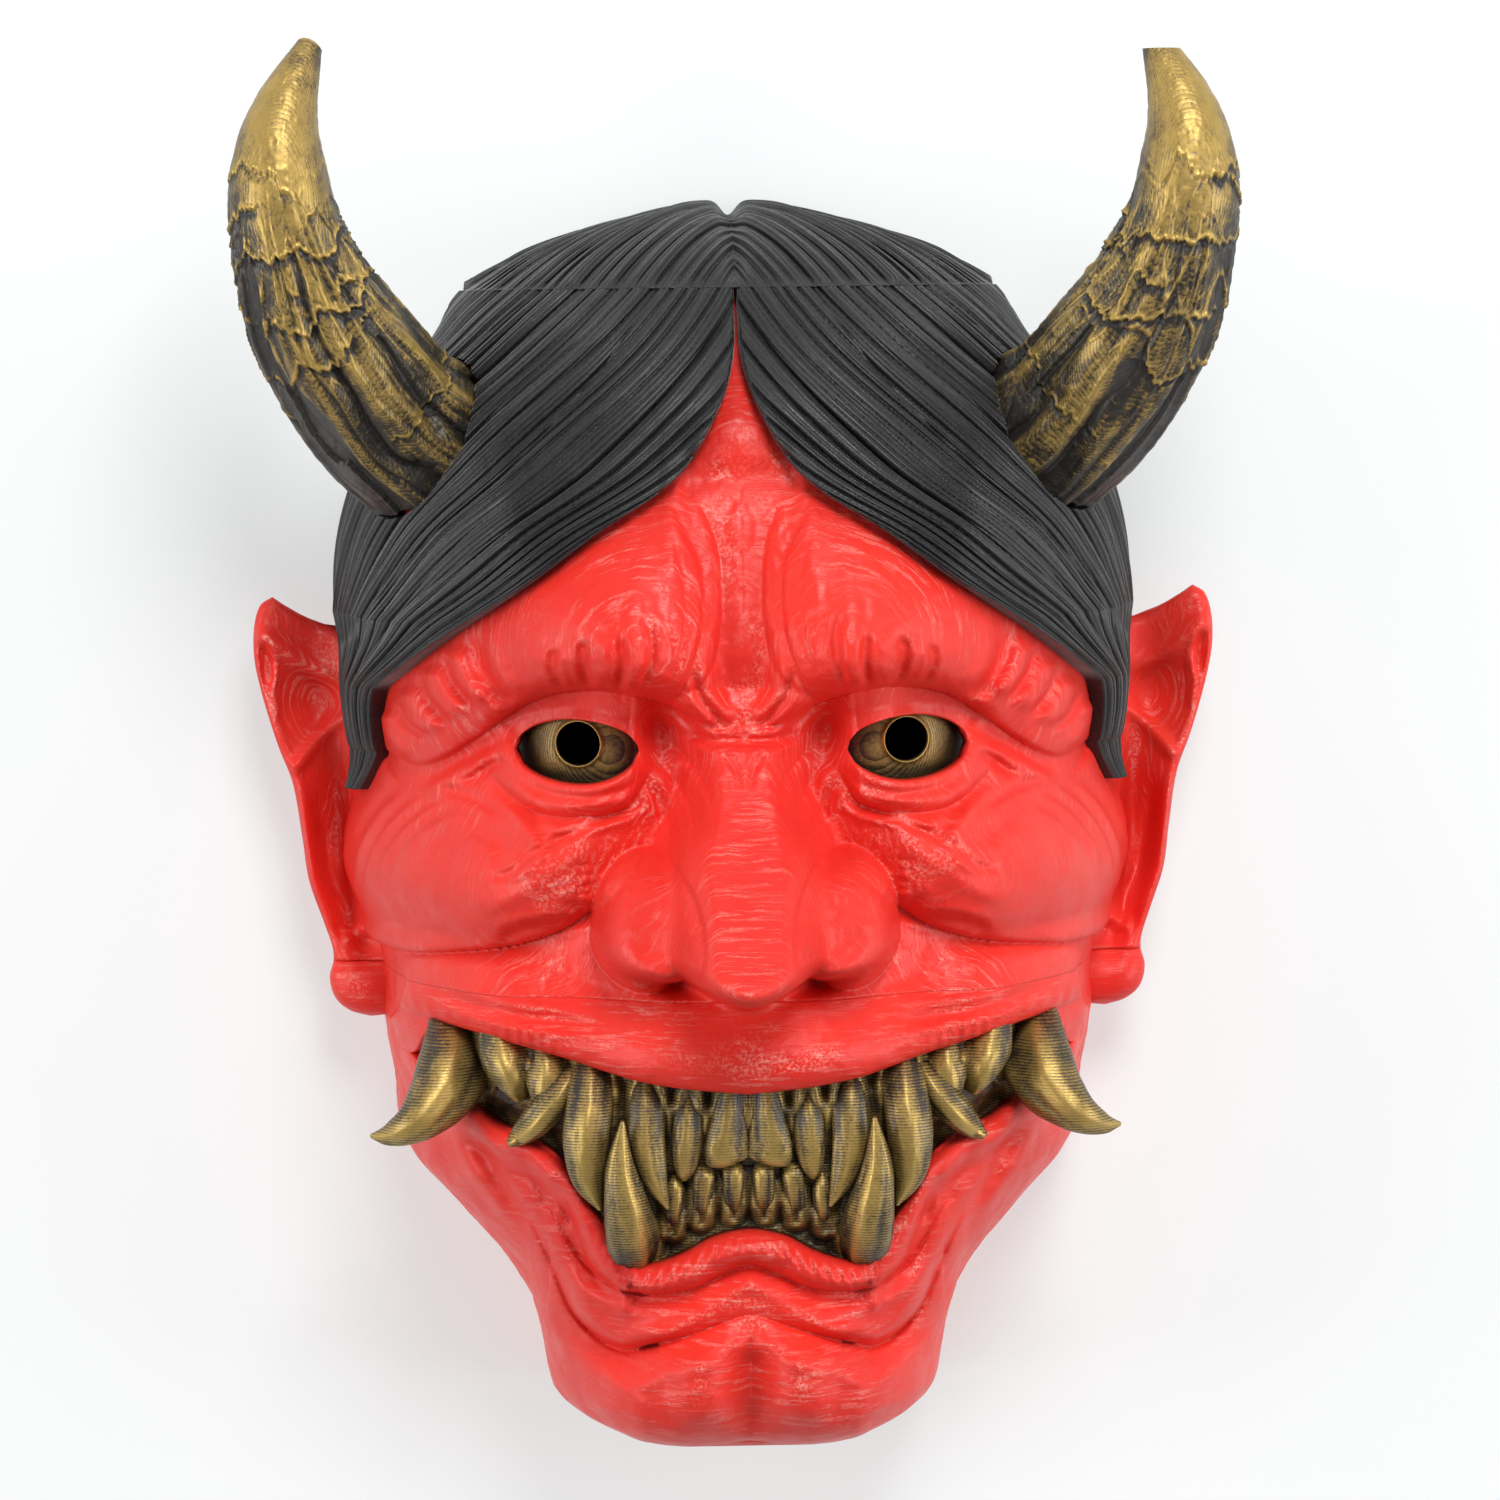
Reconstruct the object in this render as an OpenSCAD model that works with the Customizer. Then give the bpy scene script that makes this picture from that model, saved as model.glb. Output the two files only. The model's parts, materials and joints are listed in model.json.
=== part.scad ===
// Demon mask of the Noh stage: a thick shell in two glued halves, hair, horns, eyes and teeth.
// Millimetres. +Z up, the face looks along -Y, the back rim lies in the plane y = 0,
// x = 0 is the plane of symmetry and z = 0 is the level of the pupils.

/* [Head] */
// Width of the face shell at the cheeks
head_w = 164; // [150:1:180]
// Height from the crown of the hair to the chin
head_h = 253; // [237:1:267]
// Depth from the back rim to the forehead
head_d = 88; // [80:1:96]
// How far the nose stands out in front of the face
nose_out = 36; // [28:1:44]
// Wall of the face shell
wall = 4.5; // [3.5:0.1:6]
// Diameter of the cord holes beside the ears
cord_hole_d = 5; // [3:0.5:6]

/* [Eyes] */
// Distance between the two pupils
pupil_gap = 65.6; // [60:0.2:70]
// Width of an eye opening
eye_w = 25; // [20:0.5:27]
// Height of an eye opening
eye_h = 12.4; // [9:0.2:14]
// Diameter of the sight hole in a pupil
pupil_d = 8.8; // [5:0.2:9]

/* [Hair] */
// Thickness of the hair over the shell
hair_t = 7; // [5:0.5:9]
// Glue gap between the hair, the horns, the eyes, the teeth and the shell
glue_gap = 0.3; // [0.2:0.05:0.5]

/* [Horns] */
// Radius of a horn at its root
horn_r = 18.6; // [15:0.2:20]
// Length of a horn measured straight up from its root
horn_h = 80; // [66:1:90]
// Radius of the rounded tip of a horn
tip_r = 2.6; // [1.5:0.1:4]
// How much of the right horn's tip is cut off flat
horn_cut = 3.8; // [2:0.1:8]
// Diameter of the dowel that holds a horn
dowel_d = 6; // [4:0.5:8]
// Length of the dowel inside a horn
dowel_len = 16; // [10:1:20]

/* [Ears] */
// How far an ear stands out from the side of the head
ear_out = 22.5; // [14:0.5:26]

/* [Hidden] */

red = "#e2382f";
black = "#35353a";
gold = "#b08a3c";

sx = head_w / 164;
sy = head_d / 88;
sz = head_h / 253;

// Heights of the two glue seams
seam_z = -50 * sz;
crown_z = 91 * sz;
chin_z = -145.4 * sz;

function step3(t) = t * t * (3 - 2 * t);
function ramp(a, b, v) = step3(min(1, max(0, (v - a) / (b - a))));
function mix(a, b, t) = a + (b - a) * t;

// Smooth curve through the points of a table [position, value]
function knot(t, v, i = 0) = i + 2 >= len(t) || v < t[i + 1][0] ? i : knot(t, v, i + 1);
function slope(t, i) =
    let(a = t[max(0, i - 1)], b = t[min(len(t) - 1, i + 1)])
    (b[1] - a[1]) / (b[0] - a[0]);
function curve(t, v) =
    v <= t[0][0] ? t[0][1] :
    v >= t[len(t) - 1][0] ? t[len(t) - 1][1] :
    let(i = knot(t, v), w = t[i + 1][0] - t[i][0], u = (v - t[i][0]) / w)
    t[i][1] * (1 + 2 * u) * (1 - u) * (1 - u) + w * slope(t, i) * u * (1 - u) * (1 - u)
    + t[i + 1][1] * u * u * (3 - 2 * u) + w * slope(t, i + 1) * u * u * (u - 1);

// Half width and depth of the head at each height
width_rows = [
    [-146, 29], [-142.5, 34], [-139, 37.2], [-132, 40.5], [-124, 44.8], [-118, 48.5], [-111, 53.2],
    [-105, 58.5],
    [-99, 64], [-92.5, 70], [-86, 73], [-73, 73.5], [-62, 73], [-53, 72.5], [-40, 76], [-22, 81.5], [0, 79.5],
    [20, 79], [40, 78], [55, 75], [66, 70], [76, 63], [85, 55.5], [91, 49.5]];
depth_rows = [
    [-146, 64], [-142, 74], [-137, 79], [-130, 82], [-115, 84], [-100, 86], [-85, 88], [-70, 92], [-55, 93],
    [-40, 88], [-20, 84], [0, 84], [20, 88], [40, 86], [60, 80], [80, 69], [91, 59]];
squareness = 2.4;
function half_w(z) = sx * curve(width_rows, z / sz);
function depth(z) = sy * curve(depth_rows, z / sz);
function bow(s) = sqrt(max(0, 1 - pow(abs(s), squareness)));

// Shapes that the relief is put together from
function fold(v, rise, fall) =
    let(u = min(1, max(0, v / rise)))
    sqrt(1 - pow(1 - u, 2)) * (1 - ramp(rise, rise + fall, v));
function dome(x, z, cx, cz, rx, rz) = sqrt(max(0, 1 - pow((x - cx) / rx, 2) - pow((z - cz) / rz, 2)));
function bell(x, z, cx, cz, rx, rz) = exp(-pow((x - cx) / rx, 2) - pow((z - cz) / rz, 2));
// Distance from a line z = curve(x), positive above it
function above(t, x, z) =
    (z - curve(t, x)) / norm([1, curve(t, x + 0.5) - curve(t, x - 0.5)]);

brow_line = [
    [0, 3], [10, 6], [16, 8.9], [22, 10.8], [28, 11.6], [36, 10.8], [42, 8.8], [48, 5], [54, 0.5], [60, -3.6],
    [66, -5.8], [72, -4]];
brow_rise = [
    [0, 3], [4, 3.4], [9, 7.5], [16, 10.5], [28, 11.5], [40, 10.5], [48, 8], [54, 6.4], [62, 6], [70, 4.5],
    [76, 2], [80, 1]];
nose_line = [
    [-55, 0], [-51.5, 1], [-50, 7], [-48.4, 20], [-46.6, 31], [-44, 35.8], [-41, 36.3], [-37, 34.6],
    [-30, 30],
    [-20, 22.5], [-10, 15], [0, 8.5], [6, 4], [12, 0]];
nose_half = [[-50, 11], [-46, 13.5], [-40, 15], [-30, 14], [-20, 11.5], [-10, 8], [0, 7], [12, 9]];
cheek_line = [[14, -15], [19, -20], [24, -25.9], [33, -34.5], [44, -39.6], [57, -42.5], [67, -44.8],
    [80, -46]];
cheek_rise = [[14, 0], [20, 3.5], [27, 7], [36, 10.5], [50, 13], [65, 12.5], [76, 9], [84, 6]];
bag_line = [[15, 0], [20, -7], [23, -11.6], [31, -13.2], [39.4, -13.2], [45, -11.2], [50, -7], [58, 1]];
lip_rise = [[0, 4], [15, 3], [30, -1], [38, 0], [49, 6], [62, 9], [72, 6], [80, 0]];
upper_lip = [[0, -68.5], [21, -66.1], [36.6, -62], [50, -58.6], [64, -56.5], [72, -56]];
lower_lip = [[0, -96], [10.2, -101], [19, -104], [23.5, -103.2], [27.4, -98], [36.4, -84.6],
    [54, -75.5], [66, -66]];
chin_line = [
    [0, -113.2], [6, -115.8], [13.5, -119.7], [22.5, -122.8], [30.4, -121], [35, -116.5], [39, -108],
    [44, -98]];
panel_line = [[0, -103.2], [6, -106.6], [14.4, -109.4], [22, -110.2], [29.3, -107.7], [34.7, -102],
    [40, -93]];

// How far the face stands out from the plain head at a place, in the head's own proportions
function relief(x, z) =
    let(brow = curve(brow_rise, x) * fold(above(brow_line, x, z), 8, 42) + 2.6 * bell(x, z, 27, 25, 14, 15),
        half = curve(nose_half, z),
        tip = z - 0.34 * (norm([min(x, 20), 3]) - 3) * ramp(-32, -43, z),
        nose = curve(nose_line, tip) * nose_out / 36
            * (1 - ramp(half * 0.55, half * mix(1.85, 1.32, ramp(-16, -32, z)), x)),
        wing = 18 * ramp(0, 0.95, dome(x, z, 21, -36, 10.4, 11.4)),
        soft = ramp(0, 5, wing) * mix(1.6, 7, ramp(-42, -28, z)),
        middle = (nose + wing + norm([nose - wing, soft])) / 2 - soft / 4,
        cheek = curve(cheek_rise, x) * fold(above(cheek_line, x, z), 13, 26),
        bag = 2.6 * fold(above(bag_line, x, z), 5, 7) * ramp(16, 24, x) * (1 - ramp(46, 56, x)),
        socket = -3 * bell(x, z, 34, 3.5, 17, 9) - 4.5 * bell(x, z, 18, 3, 4.2, 6.5),
        boss = 3.2 * bell(x, z, 0, 63, 9, 8.5),
        lip = curve(lip_rise, x) * ramp(-38, -46, z) * (1 - ramp(-58, -80, z)),
        rolled = z > -72 ? 3.4 * fold(above(upper_lip, x, z), 4, 12) * (1 - ramp(60, 70, x)) : 0,
        pout = z < -60 ? 4.6 * fold(-above(lower_lip, x, z), 3.2, 5) * (1 - ramp(60, 70, x)) : 0,
        chin = 8 * fold(-above(chin_line, x, z), 7, 28) * ramp(0, 12, x) * (1 - ramp(32, 44, x)),
        panel = 3.2 * fold(-above(panel_line, x, z), 4, 12) * ramp(46, 34, x) * ramp(-128, -118, z),
        nostril = -7 * bell(x, z, 17.5, -45.6, 4.6, 1.9))
    middle + brow * (1 - ramp(2, 9, middle)) + cheek * (1 - 0.6 * ramp(4, 14, middle)) + bag + socket + boss
    + lip + rolled + pout + chin + panel + nostril;

// Creases and ridges of one half of the outer face: height, width and the line that each follows
marks = [
    [1.3, 2, [[7.6, 19], [6.6, 13], [4.2, 8.4], [1.6, 5]]],
    [-1.6, 1.8, [[0, 1.6], [7, 1.6], [12, 3.2]]],
    [1.1, 1.8, [[12.6, 11], [9.4, 7.2], [5.4, 4]]],
    [-1.4, 1.9, [[14.6, 50.5], [12.2, 45], [8.2, 35.8], [8.5, 22.6], [12.5, 12]]],
    [0.7, 2.6, [[0, 52], [0, 9]]],
    [-0.9, 1.8, [[31, 24], [31.6, 18], [29.6, 11]]],
    [1, 2, [[15.6, 0.6], [10.8, -3.3], [7.8, -8.3], [6.6, -13]]],
    [1.1, 2, [[19, -1.6], [14.6, -6], [11.2, -12], [10.4, -18]]],
    [1.6, 2.2, [[11, -14], [12.6, -22], [12.4, -31], [9.6, -41]]],
    [-1.8, 2.4, [[53.5, 24], [52.2, 16], [49, 11], [43.5, 8.6]]],
    [2.2, 2.6, [[57, 20.5], [55, 14], [50.4, 8.4]]],
    [2, 2.6, [[66.4, 11], [64.2, 5.6], [59.4, 1.4]]],
    [-1.2, 2.2, [[45.6, 3], [50.4, -0.2], [56, -3.6], [61, -6.6], [66, -9]]],
    [-1.3, 2, [[51, -5.6], [45.4, -11], [39.1, -13.4], [30.2, -13.2], [22.6, -11.6], [20.2, -6.1]]],
    [2.2, 2.4, [[70.6, -62], [66.6, -56.4], [64.6, -51]]],
    [-1.8, 2.3, [[57.4, -76.6], [54, -83.6], [49.6, -91.6], [44.6, -99]]],
    [1.6, 2.6, [[60.8, -76], [57.2, -84.6], [52.6, -93]]],
    [-1.2, 2, [[39.6, -86], [36.4, -93], [34.8, -99]]],
    [-1.8, 1.9, [[36, -101.5], [29.3, -107.9], [22, -110.6], [14.5, -109.8], [6.1, -107], [0, -104]]],
    [-2.2, 2.2, [[41, -101], [38.6, -109.6], [34.8, -117], [30.4, -121.6], [22.6, -123.6],
        [13.5, -120.4], [0, -114.6]]],
    [-1.4, 2.6, [[0, -118], [0, -142]]]];
function off(p, a, b) =
    let(d = b - a, t = min(1, max(0, (p - a) * d / (d * d))))
    norm(p - a - t * d);
function away(p, line) = min([for (i = [0:len(line) - 2]) off(p, line[i], line[i + 1])]);
function carving(x, z) =
    [for (m = marks) m[0] * exp(-pow(away([x, z], m[2]) / m[1], 2))] * [for (m = marks) 1];

// A place on the outer face, or a given distance further out, at height z and share s of the half width
function skin(s, z, out = 0, carved = false) =
    let(x = half_w(z) * s,
        rise = sy * (relief(abs(x) / sx, z / sz) + (carved ? carving(abs(x) / sx, z / sz) : 0)),
        turn = ramp(0.62, 1, abs(s)))
    [x + sign(s) * rise * turn * 0.6 + pow(s, 3) * out, -(depth(z) + out) * bow(s) - rise * (1 - turn), z];

// Columns of the face grid: from the middle to the eye, across the eye, and round to the rim
eye_x = pupil_gap / 2;
eye_level = -0.8;
eye_in = (eye_x - eye_w / 2) / half_w(eye_level);
eye_out = (eye_x + eye_w / 2) / half_w(eye_level);
mouth_share = 0.92;
nose_steps = 9;
eye_steps = 7;
side_steps = 12;
half_columns = [
    for (i = [0:nose_steps - 1]) eye_in * i / nose_steps,
    for (i = [0:eye_steps - 1]) mix(eye_in, eye_out, i / eye_steps),
    for (i = [0:side_steps]) sin(mix(asin(eye_out), 90, i / side_steps))];
half_count = len(half_columns) - 1;
columns = [for (i = [-half_count:half_count]) sign(i) * half_columns[abs(i)]];
last = len(columns) - 1;
function column_at(s) = len([for (c = columns) if (c < s - 0.0001) c]);

// Eyelid: height of the opening's edge above or below the eye level
function lid(s) =
    let(e = (abs(s) - (eye_in + eye_out) / 2) / (eye_out - eye_in) * 2)
    eye_h / 2 * sqrt(max(0, 1 - e * e));

// Rows of the upper half: each is a height at the rim, and the share of the lid that it follows
upper_rows = [
    [91, 0], [84, 0], [77, 0], [70, 0], [64, 0], [58, 0], [53.6, 0], [49, 0], [43, 0], [37, 0],
    [31, 0], [25, 0],
    [20, 0], [16, 0.05], [12, 0.18], [8.4, 0.36], [5, 0.6], [1.6, 0.82], [-0.8, 1], [-0.8, -1], [-4, -0.78],
    [-8, -0.5], [-12, -0.3], [-16, -0.12], [-21, 0], [-26, 0], [-30, 0], [-34, 0], [-38, 0], [-42, 0],
    [-45, 0],
    [-47.5, 0], [-50, 0]];
eye_row = [for (r = [0:len(upper_rows) - 1]) if (upper_rows[r][1] == 1) r][0];
function upper_z(r, s) = upper_rows[r][0] * sz + upper_rows[r][1] * lid(s);

// Closed wall between an outer and an inner grid. Rows run from the top down and columns from left to
// right. Each slit [row, first, last] opens a hole between that row and the next, which is its twin.
function slit_at(slits, r) = [for (q = slits) if (q[0] == r) q];
function open_at(slits, r, c) = len([for (q = slits) if (q[0] == r && c > q[1] && c < q[2]) q]) > 0;
function spans(slits, r, c) = len([for (q = slits) if (q[0] == r && c >= q[1] && c < q[2]) q]) > 0;
module shell(outer, inner, slits, capped) {
    rows = len(outer) - 1;
    cols = len(outer[0]) - 1;
    count = len(outer) * len(outer[0]);
    function twin(r) = r > 0 && len(slit_at(slits, r - 1)) > 0;
    function at(side, r, c) =
        side * count + (twin(r) && !open_at(slits, r - 1, c) ? r - 1 : r) * (cols + 1) + c;
    function two(a, b, c, d) = [[a, b, c], [a, c, d]];
    sheets = [
        for (r = [0:rows - 1]) for (c = [0:cols - 1]) if (!twin(r + 1))
            for (f = concat(
                two(at(0, r, c), at(0, r, c + 1), at(0, r + 1, c + 1), at(0, r + 1, c)),
                two(at(1, r, c), at(1, r + 1, c), at(1, r + 1, c + 1), at(1, r, c + 1)))) f];
    top = [
        for (c = [0:cols - 1])
            for (f = two(at(1, 0, c), at(1, 0, c + 1), at(0, 0, c + 1), at(0, 0, c))) f];
    low = [for (c = [0:cols - 1])
        for (f = two(at(0, rows, c), at(0, rows, c + 1), at(1, rows, c + 1), at(1, rows, c))) f];
    cap = [
        [for (c = [0:cols]) at(0, rows, c)],
        [for (c = [cols:-1:0]) at(1, rows, c)],
        [at(1, rows, cols), at(1, rows, 0), at(0, rows, 0), at(0, rows, cols)]];
    rim = [
        for (r = [0:rows - 1]) if (!twin(r + 1))
            for (f = concat(
                two(at(1, r, 0), at(0, r, 0), at(0, r + 1, 0), at(1, r + 1, 0)),
                two(at(0, r, cols), at(1, r, cols), at(1, r + 1, cols), at(0, r + 1, cols)))) f];
    holes = [
        for (q = slits) for (c = [q[1]:q[2] - 1])
            for (f = concat(
                two(at(0, q[0], c), at(0, q[0], c + 1), at(1, q[0], c + 1), at(1, q[0], c)),
                two(at(1, q[0] + 1, c), at(1, q[0] + 1, c + 1),
                    at(0, q[0] + 1, c + 1), at(0, q[0] + 1, c)))) f];
    polyhedron(
        points = [for (g = [outer, inner]) for (row = g) for (p = row) p],
        faces = concat(sheets, top, capped ? cap : low, rim, holes),
        convexity = 12);
}

function grid(rows, zfun, out) = [for (r = [0:rows]) [for (s = columns) skin(s, zfun(r, s), out)]];

// Closed solid swept through rings with an even number of points
function unit(v) = v / norm(v);
function heading(path, i) = unit(path[min(len(path) - 1, i + 1)] - path[max(0, i - 1)]);
function ring(centre, along, r, sides, ref) =
    let(n = unit(cross(along, ref)), b = cross(along, n))
    [for (a = [0:360 / sides:359.9]) centre + r[0] * cos(a) * n + r[1] * sin(a) * b];
module loft(rings) {
    n = len(rings[0]);
    top = len(rings) - 1;
    polyhedron(
        points = [for (r = rings) for (p = r) p],
        faces = concat(
            [for (i = [0:top - 1]) for (j = [0:n - 1])
                let(k = (j + 1) % n)
                for (f = [[(i + 1) * n + j, (i + 1) * n + k, i * n + k],
                    [(i + 1) * n + j, i * n + k, i * n + j]]) f],
            [for (j = [0:n / 2 - 2]) for (f = [[j, j + 1, n - 2 - j], [j, n - 2 - j, n - 1 - j]]) f],
            [for (j = [0:n / 2 - 2]) for (f = [[n - 2 - j, j + 1, j], [n - 1 - j, n - 2 - j, j]])
                [for (k = f) top * n + k]]),
        convexity = 8);
}

// Ear: its root runs down the side of the head and its edge stands out from it
ear_y = -16;
ear_share = 0.9865;
ear_cup = 4;
// Each row: height of its root and of its edge, reach, thickness and cup
ear_rows = [
    [20, 27, 0.93, 0.7, 0], [17, 25, 1.05, 0.8, 0.3], [13.5, 20, 1.11, 1, 0.7], [9.5, 14, 1.1, 1, 1],
    [4.5, 7.3, 1.01, 1, 1], [-1, 1, 0.97, 1, 0.7], [-6.5, -5, 0.88, 1, 0.5], [-13.5, -12.5, 0.69, 1, 0.9],
    [-24, -23.5, 0.54, 1, 1.2], [-33, -33, 0.52, 1, 1.2], [-42, -42, 0.5, 1, 0.6], [-47, -47, 0.56, 1.1, 0.1],
    [-48.9, -51.2, 0.58, 1.4, -0.5], [-53.5, -54, 0.64, 1.7, -0.8], [-57, -58, 0.6, 1.6, -0.8],
    [-60, -61, 0.44, 1, -0.4], [-61.5, -62.3, 0.27, 0.4, 0]];
// Each point of a row's outline: share of the reach, place from front to back, and share of the cup
ear_loop = [
    [0, -3.5, 0], [0.2, -2, 0.6], [0.45, -1.5, 1], [0.68, -2, 0.8], [0.85, -3.5, 0.1], [0.96, -3, 0],
    [1, -1.5, 0], [0.96, 0.5, 0], [0.8, 2, 0.1], [0.5, 3.5, 0.5], [0.2, 5, 0.3], [0, 6, 0]];
function ear_ring(row) =
    let(root_z = sz * row[0], edge_z = sz * row[1], root_x = skin(ear_share, root_z)[0] - wall / 2,
        edge_x = root_x + ear_out * row[2])
    [for (q = ear_loop)
        [mix(root_x, edge_x, q[0]), ear_y + q[1] * row[3] + ear_cup * q[2] * row[4],
        mix(root_z, edge_z, q[0])]];
module ear() {
    loft([for (i = [len(ear_rows) - 1:-1:0]) ear_ring(ear_rows[i])]);
}
module ears(above_seam) {
    for (side = [-1, 1])
        scale([side, 1, 1])
            intersection() {
                ear();
                translate([0, -head_d, above_seam ? seam_z : seam_z - head_h])
                    cube([head_w, head_d, head_h]);
            }
}

// Horn: its root stands on the side of the head and it curves up and in again
horn_share = 0.86;
horn_z = 60;
horn_path = [
    [0, 0, 0], [7.8, -5, 6.2], [14.8, -12, 15.7], [22.2, -20, 28.4], [26.8, -26, 43.7], [27.7, -28, 56.7],
    [26.2, -27, 67.2], [21.4, -24, 80]];
horn_taper = [1, 0.935, 0.89, 0.785, 0.62, 0.5, 0.355, 0.14];
horn_last = len(horn_path) - 1;
function horn_step(t) =
    [for (i = [0:2]) curve([for (k = [0:horn_last]) [k / horn_last, horn_path[k][i] * horn_h / 80]], t)];
horn_side = [1, 1, 0];
horn_root = skin(horn_share, horn_z * sz);
horn_axis = unit(horn_step(0.12));
function horn_ring(t, swell = 1) =
    let(p = horn_root + horn_step(t), along = unit(horn_step(min(1, t + 0.02)) - horn_step(max(0, t - 0.02))),
        taper = curve([for (k = [0:horn_last]) [k / horn_last, horn_taper[k]]], t),
        r = mix(horn_r * taper, tip_r, ramp(0.86, 1, t)))
    ring(p, along, [swell * r, swell * r], 24, horn_side);

// Height above the head of a point, along Y, and the same point let down on the head
function settle(p, n = 14, lo = -26, hi = 6) =
    let(m = (lo + hi) / 2, q = p + m * horn_axis)
    n == 0 ? q + (0.2 + glue_gap) * horn_axis :
    outside(q) ? settle(p, n - 1, lo, m) : settle(p, n - 1, m, hi);
function outside(q) =
    let(s = q[0] / half_w(q[2]))
    s >= 1 || q[1] < skin(s, q[2])[1];
module horn_dowel_at(extra) {
    translate(horn_root)
        rotate([0, acos(horn_axis[2]), atan2(horn_axis[1], horn_axis[0])])
            translate([0, 0, -2.5 * wall])
                cylinder(d = dowel_d + extra, h = 2.5 * wall + dowel_len, $fn = 48);
}
// Rings of a horn as [share of its length, swell]: a step at each rib, then smooth to the tip
horn_ribs = 5;
rib_gap = 0.12;
rib_form = [[-0.06, 1], [-0.012, 1.035], [0.012, 0.97]];
horn_rings = concat(
    [for (k = [1:horn_ribs]) for (q = rib_form) [k * rib_gap + q[0], q[1]]],
    [for (k = [0:4]) [mix(horn_ribs * rib_gap + 0.06, 1, k / 4), 1]]);
module horn(cut) {
    foot = [for (r = [0.08, 0.5, 0.8, 1]) [for (p = horn_ring(0, r)) settle(p)]];
    top = horn_root + horn_step(1);
    difference() {
        loft(concat(foot, [for (q = horn_rings) horn_ring(q[0], q[1])],
            [ring(top + tip_r * [-0.25, 0.2, 0.6], unit([-0.35, 0.3, 1]),
                [tip_r / 2, tip_r / 2], 24, horn_side)]));
        horn_dowel_at(0.1);
        translate(top + [-horn_r, -horn_r, tip_r - cut])
            cube([2 * horn_r, 2 * horn_r, cut + tip_r]);
    }
}

module upper_face() {
    slits = [
        [eye_row, column_at(-eye_out), column_at(-eye_in)],
        [eye_row, column_at(eye_in), column_at(eye_out)]];
    color(red)
        difference() {
            union() {
                shell(
                    [for (r = [0:len(upper_rows) - 1]) [for (s = columns) skin(s, upper_z(r, s), 0, true)]],
                    [for (r = [0:len(upper_rows) - 1]) [for (s = columns) skin(s, upper_z(r, s), -wall)]],
                    slits, false);
                ears(true);
            }
            for (side = [-1, 1]) {
                translate([side * half_w(8), -7, 8])
                    rotate([0, 90, 0])
                        cylinder(d = cord_hole_d, h = 30, center = true, $fn = 48);
                scale([side, 1, 1])
                    horn_dowel_at(0.1);
            }
        }
}

// Rows of the lower half: the upper lip, and then from the lower lip to the chin
lip_rows = [0, 0.2, 0.45, 0.72, 0.9, 1];
jaw_rows = [0, 0.03, 0.07, 0.12, 0.17, 0.22, 0.28, 0.35, 0.42, 0.5, 0.58, 0.67, 0.76, 0.85, 0.93, 1];
function lip_top(s) = let(x = min(abs(s), mouth_share) / mouth_share * 66)
    sz * mix(curve(upper_lip, x), curve(lower_lip, x), ramp(58, 66, x));
jaw_edge = [for (p = lower_lip) [min(mouth_share, p[0] / curve(width_rows, p[1])), p[1]]];
function lip_low(s) = sz * curve(jaw_edge, abs(s));
function lower_z(r, s, up = 0) =
    r < len(lip_rows) ? mix(seam_z, lip_top(s), lip_rows[r])
    : mix(lip_low(s), chin_z + up, jaw_rows[r - len(lip_rows)]);

module lower_face() {
    rows = len(lip_rows) + len(jaw_rows) - 1;
    mouth = [[len(lip_rows) - 1, column_at(-mouth_share), column_at(mouth_share)]];
    color(red)
        union() {
            shell(
                [for (r = [0:rows]) [for (s = columns) skin(s, lower_z(r, s), 0, true)]],
                [for (r = [0:rows]) [for (s = columns) skin(s, lower_z(r, s, wall), -wall)]],
                mouth, true);
            ears(false);
        }
}

// Hair: two locks that part over the forehead, and the crown that lies on them
lock_rows = [91, 86, 80, 74, 68, 62, 56, 50.6, 46, 42, 37, 32, 27, 22, 17, 12, 7, 2, -3, -8, -12];
lock_in = [
    [-12, 0.94], [-3, 0.905], [9, 0.885], [13, 0.84], [22.5, 0.71], [33, 0.53], [42.5, 0.37], [50.6, 0.21],
    [56, 0.135], [67, 0.055], [74, 0.02], [80, 0.006], [91, 0.005]];
lock_out = [[-12, 0.968], [-3, 0.97], [9, 0.972], [21, 0.973], [27, 0.984], [31, 1], [91, 1]];
lock_steps = 12;
lock_bulge = 1.8;
function lock_t(v, z) = hair_t * (0.55 + 0.45 * sin(180 * v)) * (0.6 + 0.4 * ramp(-14, 14, z))
    + lock_bulge * ramp(0.5, 1, v) * exp(-pow((z - 34) / 18, 2))
    + (1 - 0.55 - 0.45 * sin(180 * v)) * hair_t * ramp(84, 91, z);
function lock_share(v, z) = sin(mix(asin(curve(lock_in, z)), asin(min(1, curve(lock_out, z))), v));
facet_gap = 0.35;
module lock() {
    steps = [for (i = [0:lock_steps]) i / lock_steps];
    difference() {
        shell(
            [for (z = lock_rows) [for (v = steps) skin(lock_share(v, z), z * sz, lock_t(v, z))]],
            [for (z = lock_rows) [for (v = steps) skin(lock_share(v, z), z * sz, glue_gap + facet_gap)]],
            [], false);
        translate(horn_root)
            rotate([0, acos(horn_axis[2]), atan2(horn_axis[1], horn_axis[0])])
                cylinder(r = horn_r + 1.2, h = 80, center = true, $fn = 64);
    }
}
module left_hair_lock() {
    color(black)
        mirror([1, 0, 0])
            lock();
}
module right_hair_lock() {
    color(black)
        lock();
}

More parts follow.
